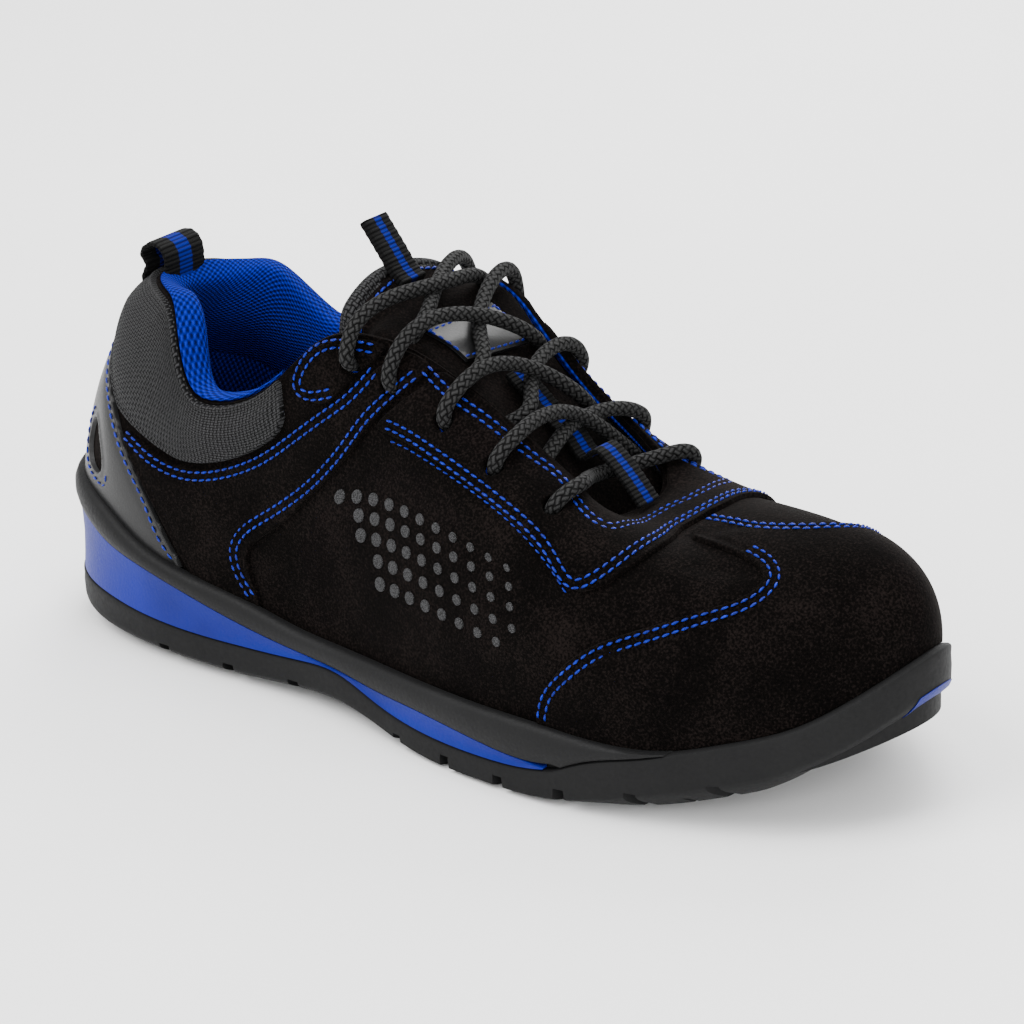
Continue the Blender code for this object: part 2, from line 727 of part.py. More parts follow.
def build_midsole():
    """Cup that holds the upper, with the rim that shows over the band."""
    rings = [
        ring(COLUMNS, inner_step, base_top + CLEAR),
        ring(COLUMNS, inner_step, step_out),
        ring(COLUMNS, rim_inset, step_top),
        ring(COLUMNS, rim_inset, line["lip"] - 0.0004),
        ring(COLUMNS, rim_inset + 0.0004, line["lip"]),
        ring(COLUMNS, LIP_WALL, line["lip"]),
        ring(COLUMNS, LIP_WALL, line["bed"]),
    ]
    return loft("midsole", rings, "black_rubber")


def build_band():
    """Blue band between the ground layer and the rim, round the heel from ball to ball."""
    keep = [i for i in range(COUNT) if x_ring[i] < RIM_START - 0.001]
    at = COLUMNS[keep]
    low = bumper_top[keep] + CLEAR
    high = step_out[keep] - CLEAR
    high = np.maximum(high, low + 0.0006)
    section = np.stack([ring(at, 0.0, low), ring(at, 0.0, high), ring(at, BUMPER_WALL, high), ring(at, BUMPER_WALL, low)], 1)
    return sweep("midsole_band", section, "blue_foam")


def build_insole():
    """Flat footbed on the cup's bed, inside the upper's wall."""
    inset = LIP_WALL + 2 * CLEAR + UPPER_WALL + 0.0004
    low = line["bed"] + CLEAR
    rings = [ring(COLUMNS, inset, low), ring(COLUMNS, inset, low + INSOLE_WALL)]
    return loft("insole", rings, "insole_cloth")


# Upper


def build_upper():
    """Hollow upper: outer and inner skins joined at the opening and at the sole."""
    foot = line["bed"] + CLEAR
    outer = [ring(COLUMNS, LIP_WALL + CLEAR, foot)] + list(np.swapaxes(skin_grid(0.0), 0, 1))
    inner = list(np.swapaxes(skin_grid(-UPPER_WALL), 0, 1))[::-1] + [ring(COLUMNS, LIP_WALL + CLEAR + UPPER_WALL, foot)]
    rows = outer + inner
    points = np.concatenate(rows)
    faces = []
    for row in range(len(rows)):
        above = (row + 1) % len(rows)
        for column in range(COUNT):
            after = (column + 1) % COUNT
            a, b = row * COUNT + column, row * COUNT + after
            c, d = above * COUNT + after, above * COUNT + column
            if row < len(outer):
                faces += [(a, b, c), (a, c, d)]
            else:
                faces.append((a, b, c, d))
    upper = make("upper", points, faces, "black_suede")
    for cutter in eyelet_cutters(EYELETS) + eyelet_cutters(across(EYELETS)):
        combine(upper, cutter, "DIFFERENCE")
    return upper


def eyelet_cutters(places):
    """Round cutters through the wall at the eyelets."""
    cutters = []
    for at, up in places:
        at, up = np.array([at]), np.array([up])
        centre = upper_face(at, up)[0]
        normal = upper_normal(at, up)[0]
        cutters.append(cylinder(centre - normal * 0.006, centre + normal * 0.006, EYELET_RADIUS, 6))
    return cutters


def cylinder(start, end, radius, sides):
    """Plain cylinder between two points."""
    along = (end - start) / np.linalg.norm(end - start)
    flat = np.cross(along, (0.3, 0.2, 1.0))
    flat /= np.linalg.norm(flat)
    lift = np.cross(flat, along)
    turn = np.arange(sides) * 2 * math.pi / sides
    loop = radius * (flat * np.cos(turn)[:, None] + lift * np.sin(turn)[:, None])
    return sweep("cutter", np.stack([start + loop, end + loop]), None)


# Overlays


def build_overlays():
    """Panels that lie on the upper, one thickness over it."""
    near, far = CLEAR, CLEAR + OVERLAY_WALL
    patch("toe_overlay", list(TOE_OVERLAY), near, far, "black_suede")
    ends = list(EYESTAY_END)
    inner_edge = [(at, 0.985) for at in np.arange(4.9, -4.3, -0.4)]
    outer_edge = list(EYESTAY_OUTER)
    eyestay = patch("eyestay", outer_edge[::-1] + ends + inner_edge + other_end(ends), near, far, "black_suede")
    for cutter in eyelet_cutters(EYELETS[2:]) + eyelet_cutters(across(EYELETS[2:])):
        combine(eyestay, cutter, "DIFFERENCE")
    tip = list(EYESTAY_TIP)
    for side, turn in (("outer", list), ("inner", across)):
        piece = patch("eyestay_tip_" + side, turn(tip), near, far, "black_suede")
        for cutter in eyelet_cutters(turn(EYELETS[:1])):
            combine(piece, cutter, "DIFFERENCE")
        quarter = list(QUARTER)
        piece = patch("quarter_" + side, turn(quarter), near, far, "black_suede")
        for cutter in eyelet_cutters(turn(EYELETS[1:2])):
            combine(piece, cutter, "DIFFERENCE")
    edge = list(COUNTER)
    top = [(9.7, 0.612), (10.0, 0.614), (10.3, 0.612)]
    foot = [(at, 0.012) for at in np.arange(11.9, 7.7, -0.4)]
    holes = [COUNTER_HOLE, across(COUNTER_HOLE)]
    patch("heel_counter", edge + top + across(edge)[::-1] + foot, near, far, "grey_trim", holes)
    lower = list(COLLAR_LOWER)
    back = [(9.7, 0.636), (10.0, 0.638), (10.3, 0.636)]
    rim = [(at, 0.985) for at in np.arange(12.9, 6.6, -0.35)]
    collar = lower + back + across(lower)[::-1] + [(13.15, 0.985)] + rim + [(6.50, 0.985)]
    patch("collar_panel", collar, near, CLEAR + COLLAR_WALL, "grey_cordura")


def other_end(rows):
    """Closing rows on the other side, numbered below zero."""
    return [(-0.9 * at, up) for at, up in rows][::-1]


def build_lining():
    """Padded roll inside the collar, showing over its edge."""
    at = np.linspace(6.55, 13.1, 19)
    back = -(UPPER_WALL + CLEAR + 0.0005)
    shape = (
        (0.52, back),
        (0.76, back),
        (0.985, back),
        (1.022, back - 0.0012),
        (1.030, back - 0.0032),
        (1.000, back - 0.90 * LINING_PAD),
        (0.88, back - 1.00 * LINING_PAD),
        (0.70, back - 0.75 * LINING_PAD),
        (0.52, back - 0.30 * LINING_PAD),
    )
    section = np.stack([skin(at, np.full(len(at), up), np.full(len(at), off)) for up, off in shape], 1)
    return sweep("collar_lining", section, "blue_mesh")


# Tongue


def tongue_rows():
    """Rows of points over the tongue, each from the outer wing to the inner wing."""
    rows, walls = [], []
    for out, inn, crown, thick, under in TONGUE_RUNGS:
        under = -(UPPER_WALL + under)
        sides = []
        for at in (out, inn):
            ups = np.array([0.80, 0.90, 0.985])
            sides.append(skin(np.full(3, at), ups, np.full(3, under)))
        middle = []
        for share in (0.25, 0.5, 0.75):
            point = sides[0][2] * (1 - share) + sides[1][2] * share
            middle.append(point + (0.0, 0.0, 4 * share * (1 - share) * crown))
        rows.append(list(sides[0]) + middle + list(sides[1][::-1]))
        walls.append(thick)
    front = skin(np.array([0.5, 0.0, 18.5]), np.full(3, 0.985), np.full(3, -(UPPER_WALL + TONGUE_RUNGS[0][4])))
    for k in range(3):
        rows[0][3 + k] = front[k]
    for x, z, half, drop, thick in TONGUE_END:
        row = []
        for share, fall in ((-1.0, 2.6), (-0.95, 1.7), (-0.84, 1.0), (-0.45, 0.25), (0.0, 0.0), (0.45, 0.25), (0.84, 1.0), (0.95, 1.7), (1.0, 2.6)):
            row.append(np.array([x, share * half, z - drop * fall]))
        rows.append(row)
        walls.append(thick)
    return np.array(rows), np.array(walls)


def tongue_front():
    """Rows that carry the tongue forward under the vamp, ahead of its first rung."""
    under = -(UPPER_WALL + TONGUE_RUNGS[0][4])
    at = np.array([0.5, 0.0, 18.5])
    return [skin(at, np.full(3, up), np.full(3, under)) for up in (0.90, 0.80)]


def build_tongue():
    """Tongue: a band under both flaps and the vamp, filled in between and free at the top."""
    rows, walls = tongue_rows()
    front = tongue_front()
    count, width = rows.shape[:2]
    points = list(rows.reshape(-1, 3)) + list(front[0]) + list(front[1])
    wall = list(np.repeat(walls, width)) + [walls[0]] * 6
    faces = strips(count, width, wrap_columns=False)
    mid, far = count * width, count * width + 3
    inner = [2, 3, 4, 5, 6]
    middle = [1, mid, mid + 1, mid + 2, 7]
    outer = [0, far, far + 1, far + 2, 8]
    for near, beyond in ((inner, middle), (middle, outer)):
        for k in range(4):
            faces.append((near[k], near[k + 1], beyond[k + 1], beyond[k]))
    points = np.array(points)
    shape = bmesh.new()
    corners = [shape.verts.new(point) for point in points]
    for face in faces:
        shape.faces.new([corners[i] for i in face])
    bmesh.ops.recalc_face_normals(shape, faces=shape.faces[:])
    shape.normal_update()
    normals = np.array([tuple(vert.normal) for vert in shape.verts])
    if normals[4 * width + 4][2] < 0:
        normals = -normals
    shape.verts.index_update()
    rim = [tuple(vert.index for vert in edge.verts) for edge in shape.edges if len(edge.link_faces) == 1]
    shape.free()
    total = len(points)
    below = points - normals * np.array(wall)[:, None]
    faces += [tuple(i + total for i in face) for face in faces]
    faces += [(a, b, b + total, a + total) for a, b in rim]
    return make("tongue", np.concatenate([points, below]), faces, "black_suede")


def tongue_top(x, y=0.0):
    """Height of the tongue's face over a spot near its middle."""
    rows, _ = tongue_rows()
    share = np.interp(y, [-0.022, 0.022], [2.0, 6.0])
    column = int(min(max(math.floor(share), 2), 5))
    part = share - column
    line_points = rows[:, column] * (1 - part) + rows[:, column + 1] * part
    order = np.argsort(line_points[:, 0])
    return float(np.interp(x, line_points[order, 0], line_points[order, 2]))


def build_tongue_patch():
    """Bare trim piece between the two top lace crossings."""
    rows, _ = tongue_rows()
    picks = [(6, 0.50), (7, 0.0), (7, 0.60)]
    grid = []
    for index, part in picks:
        row = rows[index] * (1 - part) + rows[index + 1] * part
        left = row[2] * 0.15 + row[3] * 0.85
        right = row[6] * 0.15 + row[5] * 0.85
        grid.append([left, row[3], row[4], row[5], right])
    grid = np.array(grid)
    run = np.gradient(grid, axis=0)
    side = np.gradient(grid, axis=1)
    normal = np.cross(run, side)
    normal /= np.linalg.norm(normal, axis=-1, keepdims=True)
    normal = np.where(normal[..., 2:] < 0, -normal, normal)
    low = grid + normal * 0.0005
    high = grid + normal * 0.0013
    points = np.concatenate([low.reshape(-1, 3), high.reshape(-1, 3)])
    top = strips(3, 5, wrap_columns=False)
    rim = [0, 1, 2, 3, 4, 9, 14, 13, 12, 11, 10, 5]
    faces = top + [tuple(i + 15 for i in face) for face in top]
    faces += [(a, b, b + 15, a + 15) for a, b in zip(rim, rim[1:] + rim[:1])]
    return make("tongue_patch", points, faces, "grey_trim")


# Loops and lace


def build_heel_loop():
    """Pull loop that stands over the back of the collar."""
    at = np.full(3, HEEL)
    leg = skin(at, np.array([0.80, 0.90, 1.0]), np.full(3, CLEAR + COLLAR_WALL + CLEAR + WEBBING_WALL / 2 + 0.0006))
    rim = upper_face(np.array([HEEL]), np.array([1.0]))[0]
    points = [*leg, rim + (-0.0040, 0, 0.0045), rim + (0.0000, 0, 0.0088), rim + (0.0032, 0, 0.0072), rim + (0.0036, 0, 0.0036)]
    return band("heel_loop", through_curve(points, 13), HEEL_LOOP_WIDTH, WEBBING_WALL, "black_webbing")


def build_tongue_loop():
    """Folded pull tab on the free end of the tongue."""
    lift = WEBBING_WALL + 0.0006
    points = []
    for x, extra in ((0.1200, 0.0), (0.1170, 0.0002), (0.1140, 0.0020), (0.1108, 0.0056), (0.1065, 0.0112)):
        points.append((x, 0.0, tongue_top(x) + lift + extra))
    return band("tongue_loop", through_curve(points, 8), TONGUE_LOOP_WIDTH, 2 * WEBBING_WALL, "black_webbing")


def lace_ends(index, side):
    """Centre of the lace over an eyelet and over the throat's edge beside it."""
    at, up = EYELETS[index] if side < 0 else across(EYELETS)[index]
    over = CLEAR + OVERLAY_WALL + LACE_RADIUS + 0.0015
    ups = np.array([up, (up + 1.0) / 2, 1.0])
    return skin(np.full(3, at), ups, np.array([over, over + 0.0004, over]))


def lace_rest(index, side, lift):
    """Centre of the lace where it goes under the flap on the far side."""
    at, up = EYELETS[index] if side < 0 else across(EYELETS)[index]
    edge = skin(np.array([at]), np.array([1.0]), np.array([0.0]))[0]
    y = edge[1] - side * 0.0080
    x = edge[0] - (0.0040 if index == 4 else 0.0)
    return np.array([x, y, tongue_top(x, y) + LACE_RADIUS + lift])


def build_lace():
    """Four crossings and the bottom bar, each crossing one solid."""
    gap = 0.0012
    for k in range(4):
        lift = (0.0030, 0.0036, 0.0052, 0.0047)[k]
        pair = []
        for side in (-1, 1):
            start = lace_ends(k, side)
            end = lace_rest(k + 1, -side, gap)
            x = (start[0][0] + end[0]) / 2 + (0.0045 if k == 0 else 0.0012 if k == 1 else 0.0005)
            top = tongue_top(x) + LACE_RADIUS + gap + lift
            middle = np.array([x, 0.0, top + (2 * LACE_RADIUS - 0.0006 if side < 0 else 0.0)])
            points = [*start, middle, end]
            pair.append(tube("lace_cross_%d" % (k + 1), through_curve(points, 9), LACE_RADIUS, "black_lace", shift=0.5 * (side > 0)))
        combine(pair[0], pair[1], "UNION")
        pair[0].name = "lace_cross_%d" % (k + 1)
    left, right = lace_ends(4, -1), lace_ends(4, 1)
    x = (left[2][0] + right[2][0]) / 2
    middle = np.array([x, 0.0, tongue_top(x) + LACE_RADIUS + gap + 0.0006])
    tube("lace_bar", through_curve([*left, middle, *right[::-1]], 13), LACE_RADIUS, "black_lace")


def build_keeper():
    """Tape that is sewn at the throat, arches over the bottom bar and runs up the tongue."""
    left, right = lace_ends(4, -1), lace_ends(4, 1)
    x = (left[2][0] + right[2][0]) / 2
    bar = tongue_top(x) + LACE_RADIUS + 0.0018
    over = LACE_RADIUS + WEBBING_WALL / 2 + 0.0040
    front = upper_face(np.array([0.25]), np.array([1.0]))[0]
    points = [
        (front[0] + 0.006, 0.0, front[2] + CLEAR + OVERLAY_WALL + WEBBING_WALL + 0.0012),
        (x + 0.0034, 0.0, bar + over * 0.85),
        (x + 0.0004, 0.0, bar + over + 0.0004),
        (x - 0.0044, 0.0, bar + over * 0.60),
    ]
    for at in (x - 0.0085, x - 0.0150, x - 0.0220, x - 0.0290):
        points.append((at, 0.0, tongue_top(at) + WEBBING_WALL / 2 + (0.0027 if at > x - 0.012 else 0.0019)))
    return band("lace_keeper", through_curve(points, 17), KEEPER_WIDTH, WEBBING_WALL, "black_webbing")


def main():
    for old in list(bpy.data.objects):
        bpy.data.objects.remove(old)
    build_outsole()
    build_midsole()
    build_band()
    toe_sector("toe_insert", 0.0, 0.0017, CLEAR, "blue_foam")
    build_insole()
    build_upper()
    build_overlays()
    build_lining()
    build_tongue()
    build_tongue_patch()
    build_heel_loop()
    build_tongue_loop()
    build_lace()
    build_keeper()


main()
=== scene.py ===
"""Looks of a low safety sneaker for the right foot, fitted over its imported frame."""

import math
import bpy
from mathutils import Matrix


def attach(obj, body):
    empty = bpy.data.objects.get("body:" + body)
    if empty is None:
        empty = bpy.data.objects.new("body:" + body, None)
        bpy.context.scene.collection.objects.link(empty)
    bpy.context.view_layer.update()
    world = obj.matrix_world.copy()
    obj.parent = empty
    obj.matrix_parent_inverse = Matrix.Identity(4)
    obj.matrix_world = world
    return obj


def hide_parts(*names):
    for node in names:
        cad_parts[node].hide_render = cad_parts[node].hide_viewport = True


bl_info = {
    "name": "Safety sneaker",
    "version": (1, 0, 0),
    "blender": (4, 5, 0),
    "location": "View3D > Sidebar > Sneaker",
    "description": "Models the suede upper, padded collar, layered sole, lace and stitching of a work shoe",
    "category": "Add Mesh",
}

import bmesh
import bpy
import numpy as np
from bpy.props import FloatProperty, FloatVectorProperty, PointerProperty
from mathutils import Matrix, Vector

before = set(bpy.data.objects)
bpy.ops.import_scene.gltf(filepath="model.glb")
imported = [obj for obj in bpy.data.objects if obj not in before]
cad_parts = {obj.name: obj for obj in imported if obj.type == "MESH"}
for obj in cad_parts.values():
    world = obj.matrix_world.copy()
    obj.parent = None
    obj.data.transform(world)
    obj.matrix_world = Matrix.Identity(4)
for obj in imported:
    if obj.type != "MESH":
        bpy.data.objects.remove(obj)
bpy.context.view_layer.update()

# The photograph's camera: degrees, metres and millimetres of lens. Its aim is measured from the heel's back
CAMERA_TURN = 37.8
CAMERA_RISE = 22.0
CAMERA_ROLL = -1.9
CAMERA_DISTANCE = 1.1465
CAMERA_LENS = 146.1
CAMERA_AIM = (0.1500, 0.0018, 0.0536)

# Named sizes of the whole shoe
LENGTH = 0.288
BALL_WIDTH = 0.108
HEEL_HEIGHT = 0.104
INSTEP_HEIGHT = 0.106

# Named thicknesses and clearances
CLEAR = 0.0003
LIP_WALL = 0.0038
BUMPER_WALL = 0.0026
UPPER_WALL = 0.0021
OVERLAY_WALL = 0.0012
COLLAR_WALL = 0.0018

INSOLE_WALL = 0.0040

FLAT_SPOT = 0.0003  # lower than this, the tread is flat on the floor
SOLE_BEVEL = 0.0070
LUG_GAP = 0.0042
LUG_DEPTH = 0.0036

LACE_RADIUS = 0.0024
WEBBING_WALL = 0.0013
HEEL_LOOP_WIDTH = 0.0165
TONGUE_LOOP_WIDTH = 0.0100
KEEPER_WIDTH = 0.0090

# Plan of the sole at its widest, clockwise from the toe by the outer side.
# x is a share of LENGTH and y of BALL_WIDTH
OUTLINE = (
    #  x      y
    (1.000, 0.019),
    (0.972, -0.185),
    (0.910, -0.343),
    (0.785, -0.468),
    (0.656, -0.500),
    (0.528, -0.454),
    (0.413, -0.389),
    (0.288, -0.365),
    (0.135, -0.343),
    (0.031, -0.210),
    (0.000, 0.000),
    (0.031, 0.200),
    (0.135, 0.333),
    (0.288, 0.333),
    (0.455, 0.343),
    (0.622, 0.417),
    (0.747, 0.463),
    (0.868, 0.407),
    (0.958, 0.231),
)

# Heights along the sole as shares of HEEL_HEIGHT: ground face, lower edge of the wall, coloured band, lip
# and inner bed
SOLE_HEIGHTS = (
    # x    floor  edge   low    high   lip    bed
    (0.000, 0.019, 0.082, 0.149, 0.356, 0.438, 0.260),
    (0.049, 0.000, 0.053, 0.138, 0.341, 0.423, 0.255),
    (0.094, 0.000, 0.046, 0.134, 0.303, 0.394, 0.245),
    (0.146, 0.000, 0.042, 0.123, 0.271, 0.332, 0.236),
    (0.208, 0.000, 0.035, 0.113, 0.234, 0.284, 0.221),
    (0.292, 0.003, 0.037, 0.115, 0.182, 0.248, 0.197),
    (0.361, 0.017, 0.052, 0.127, 0.157, 0.212, 0.173),
    (0.417, 0.021, 0.057, 0.134, 0.148, 0.204, 0.159),
    (0.472, 0.010, 0.037, 0.101, 0.138, 0.206, 0.149),
    (0.528, 0.000, 0.009, 0.079, 0.137, 0.209, 0.139),
    (0.625, 0.000, 0.006, 0.078, 0.120, 0.213, 0.135),
    (0.688, 0.002, 0.012, 0.093, 0.115, 0.212, 0.135),
    (0.750, 0.013, 0.044, 0.130, 0.144, 0.202, 0.144),
    (0.812, 0.038, 0.090, 0.149, 0.163, 0.206, 0.163),
    (0.875, 0.083, 0.138, 0.192, 0.212, 0.250, 0.188),
    (0.931, 0.130, 0.183, 0.221, 0.231, 0.303, 0.216),
    (0.972, 0.178, 0.231, 0.269, 0.279, 0.375, 0.245),
    (1.000, 0.216, 0.288, 0.327, 0.337, 0.438, 0.269),
)

# Ribs of the upper, as shares of LENGTH, BALL_WIDTH and INSTEP_HEIGHT. at: place on the outline.
# edge: where the rib ends at the opening. bulge, rise: lower handle. run, drop: upper handle
UPPER_RIBS = (
    # at   edge_x  edge_y  edge_z  bulge  rise   run   drop
    (0.00, 0.668, 0.009, 0.599, 0.000, 0.320, 0.52, -0.085),
    (0.70, 0.664, -0.037, 0.594, 0.000, 0.320, 0.52, -0.085),
    (1.30, 0.661, -0.074, 0.599, 0.005, 0.320, 0.52, -0.075),
    (2.00, 0.659, -0.111, 0.627, 0.008, 0.350, 0.52, -0.035),
    (2.60, 0.655, -0.148, 0.675, 0.010, 0.390, 0.50, 0.015),
    (3.20, 0.642, -0.174, 0.741, 0.010, 0.420, 0.48, 0.060),
    (3.80, 0.611, -0.193, 0.816, 0.010, 0.450, 0.45, 0.080),
    (4.40, 0.573, -0.207, 0.892, 0.010, 0.480, 0.45, 0.090),
    (5.00, 0.524, -0.222, 0.967, 0.005, 0.480, 0.42, 0.100),
    (5.40, 0.479, -0.233, 1.014, 0.000, 0.460, 0.36, 0.120),
    (5.70, 0.441, -0.256, 1.033, 0.000, 0.440, 0.28, 0.150),
    (6.00, 0.401, -0.287, 1.022, 0.000, 0.400, 0.18, 0.180),
    (6.30, 0.366, -0.302, 0.951, 0.000, 0.340, 0.10, 0.180),
    (6.65, 0.325, -0.302, 0.849, 0.002, 0.280, 0.03, 0.170),
    (7.00, 0.281, -0.296, 0.781, 0.004, 0.240, 0.00, 0.160),
    (7.30, 0.243, -0.292, 0.757, 0.006, 0.220, 0.00, 0.150),
    (7.60, 0.214, -0.278, 0.783, 0.006, 0.220, 0.00, 0.150),
    (7.85, 0.199, -0.261, 0.863, 0.006, 0.240, 0.00, 0.180),
    (8.20, 0.186, -0.234, 0.958, 0.004, 0.250, 0.05, 0.190),
    (8.70, 0.160, -0.190, 0.991, -0.015, 0.250, 0.30, 0.190),
    (9.30, 0.128, -0.120, 0.991, -0.035, 0.250, 0.48, 0.150),
    (10.00, 0.109, 0.000, 0.981, -0.035, 0.250, 0.48, 0.150),
    (10.70, 0.125, 0.120, 0.972, -0.035, 0.250, 0.48, 0.150),
    (11.30, 0.149, 0.185, 0.962, -0.015, 0.250, 0.30, 0.190),
    (11.80, 0.174, 0.231, 0.948, 0.004, 0.250, 0.05, 0.190),
    (12.15, 0.194, 0.259, 0.901, 0.006, 0.240, 0.00, 0.180),
    (12.50, 0.219, 0.278, 0.844, 0.006, 0.220, 0.00, 0.150),
    (12.80, 0.247, 0.287, 0.807, 0.006, 0.220, 0.00, 0.150),
    (13.10, 0.285, 0.292, 0.811, 0.004, 0.240, 0.00, 0.160),
    (13.40, 0.326, 0.296, 0.877, 0.002, 0.280, 0.03, 0.170),
    (13.65, 0.366, 0.301, 0.962, 0.000, 0.340, 0.10, 0.180),
    (13.85, 0.403, 0.296, 1.024, 0.000, 0.400, 0.16, 0.190),
    (14.05, 0.441, 0.273, 1.033, 0.000, 0.440, 0.22, 0.190),
    (14.30, 0.479, 0.250, 1.000, 0.000, 0.440, 0.28, 0.180),
    (14.60, 0.521, 0.231, 0.910, 0.000, 0.410, 0.32, 0.150),
    (15.00, 0.566, 0.218, 0.811, 0.000, 0.380, 0.34, 0.120),
    (15.50, 0.608, 0.204, 0.741, 0.000, 0.350, 0.36, 0.105),
    (16.00, 0.639, 0.190, 0.689, 0.000, 0.330, 0.38, 0.080),
    (16.50, 0.660, 0.162, 0.651, 0.005, 0.320, 0.42, 0.035),
    (17.00, 0.671, 0.120, 0.627, 0.008, 0.320, 0.46, -0.015),
    (17.60, 0.674, 0.083, 0.613, 0.008, 0.330, 0.50, -0.060),
    (18.30, 0.673, 0.046, 0.604, 0.005, 0.330, 0.52, -0.085),
)

# Outlines of the overlays on the upper: at round the shoe, up from the sole (0) to the opening (1)
TOE_OVERLAY = (
    # at    up
    (3.74, 0.012),
    (3.72, 0.040),
    (3.51, 0.130),
    (3.20, 0.225),
    (2.82, 0.305),
    (2.36, 0.365),
    (1.92, 0.400),
    (1.53, 0.430),
    (1.31, 0.470),
    (1.23, 0.530),
    (1.27, 0.605),
    (1.43, 0.730),
    (1.20, 0.765),
    (0.60, 0.792),
    (0.20, 0.798),
    (0.32, 0.670),
    (0.09, 0.570),
    (-0.52, 0.470),
    (-1.00, 0.420),
    (-1.50, 0.360),
    (-1.95, 0.270),
    (-2.25, 0.170),
    (-2.45, 0.080),
    (-2.50, 0.012),
)
EYESTAY_OUTER = (
    (5.60, 0.592),
    (4.70, 0.572),
    (4.00, 0.530),
    (3.58, 0.440),
    (3.42, 0.372),
    (3.15, 0.430),
    (2.70, 0.585),
    (2.05, 0.730),
    (1.20, 0.800),
    (0.40, 0.820),
    (-0.40, 0.820),
    (-1.30, 0.790),
    (-1.90, 0.720),
    (-2.40, 0.585),
    (-2.75, 0.440),
    (-2.95, 0.372),
    (-3.10, 0.440),
    (-3.50, 0.530),
    (-4.10, 0.572),
    (-5.04, 0.592),
)
EYESTAY_END = (
    (5.57, 0.630),
    (5.36, 0.735),
    (5.14, 0.880),
    (5.10, 0.985),
)
EYESTAY_TIP = (
    (5.56, 0.985),
    (6.36, 0.985),
    (6.42, 0.900),
    (6.16, 0.735),
    (6.00, 0.715),
    (5.86, 0.775),
    (5.70, 0.855),
    (5.58, 0.925),
)
QUARTER = (
    (7.42, 0.012),
    (7.53, 0.070),
    (7.73, 0.190),
    (7.93, 0.250),
    (8.18, 0.300),
    (8.27, 0.342),
    (8.13, 0.372),
    (7.88, 0.425),
    (7.62, 0.498),
    (7.35, 0.572),
    (7.07, 0.632),
    (6.77, 0.678),
    (6.44, 0.698),
    (6.18, 0.705),
    (5.98, 0.695),
    (5.82, 0.752),
    (5.66, 0.830),
    (5.53, 0.905),
    (5.50, 0.985),
    (5.16, 0.985),
    (5.20, 0.885),
    (5.42, 0.735),
    (5.62, 0.628),
    (5.86, 0.490),
    (6.38, 0.402),
    (6.86, 0.275),
    (6.95, 0.180),
    (6.90, 0.080),
    (6.80, 0.012),
)
COUNTER = (
    (7.48, 0.012),
    (7.60, 0.070),
    (7.80, 0.200),
    (8.00, 0.262),
    (8.24, 0.310),
    (8.55, 0.395),
    (9.00, 0.500),
    (9.38, 0.600),
)
COUNTER_HOLE = (
    (8.80, 0.275),
    (8.92, 0.190),
    (8.82, 0.100),
    (8.60, 0.066),
    (8.42, 0.085),
    (8.44, 0.150),
    (8.60, 0.220),
)
COLLAR_LOWER = (
    (6.50, 0.900),
    (6.47, 0.742),
    (6.78, 0.712),
    (7.08, 0.668),
    (7.37, 0.606),
    (7.64, 0.530),
    (7.90, 0.456),
    (8.15, 0.404),
    (8.40, 0.392),
    (8.62, 0.436),
    (9.05, 0.538),
    (9.42, 0.625),
)
EYELETS = (
    (5.84, 0.855),
    (5.49, 0.775),
    (4.92, 0.745),
    (4.29, 0.700),
    (3.57, 0.700),
)

# Rungs of the tongue: places on the two sides of the throat, height of the middle over the chord, thickness,
# and clearance under the flaps
TONGUE_RUNGS = (
    # out   inn    crown    thick   under
    (1.00, 18.00, 0.0000, 0.0026, 0.0042),
    (1.70, 17.35, -0.0030, 0.0026, 0.0040),
    (2.40, 16.75, -0.0060, 0.0026, 0.0028),
    (3.10, 16.10, -0.0040, 0.0028, 0.0016),
    (3.70, 15.55, -0.0015, 0.0030, 0.0010),
    (4.30, 15.10, 0.0000, 0.0034, 0.0008),
    (4.90, 14.70, 0.0014, 0.0038, 0.0008),
    (5.30, 14.40, 0.0024, 0.0042, 0.0008),
    (5.65, 14.12, 0.0040, 0.0046, 0.0008),
)

# Free end of the tongue: x, middle height, half width and side drop
TONGUE_END = (
    # x      z      half   drop    thick
    (0.1205, 0.1165, 0.0270, 0.0050, 0.0052),
    (0.1130, 0.1215, 0.0255, 0.0055, 0.0056),
    (0.1085, 0.1215, 0.0245, 0.0060, 0.0050),
)


def periodic_spline(knots, values, period):
    """Smooth closed curve through the values at the knots."""
    knots = np.asarray(knots, float)
    values = np.asarray(values, float)
    count = len(knots)
    step = np.diff(np.append(knots, knots[0] + period))
    matrix = np.zeros((count, count))
    right = np.zeros_like(values)
    for i in range(count):
        matrix[i, i - 1] += step[i - 1]
        matrix[i, i] += 2 * (step[i - 1] + step[i])
        matrix[i, (i + 1) % count] += step[i]
        ahead = (values[(i + 1) % count] - values[i]) / step[i]
        right[i] = 6 * (ahead - (values[i] - values[i - 1]) / step[i - 1])
    bend = np.linalg.solve(matrix, right)

    def at(place):
        place = (np.asarray(place, float) - knots[0]) % period + knots[0]
        i = np.clip(np.searchsorted(knots, place, side="right") - 1, 0, count - 1)
        return blend(values, bend, i, (i + 1) % count, step[i], (place - knots[i]) / step[i])

    return at


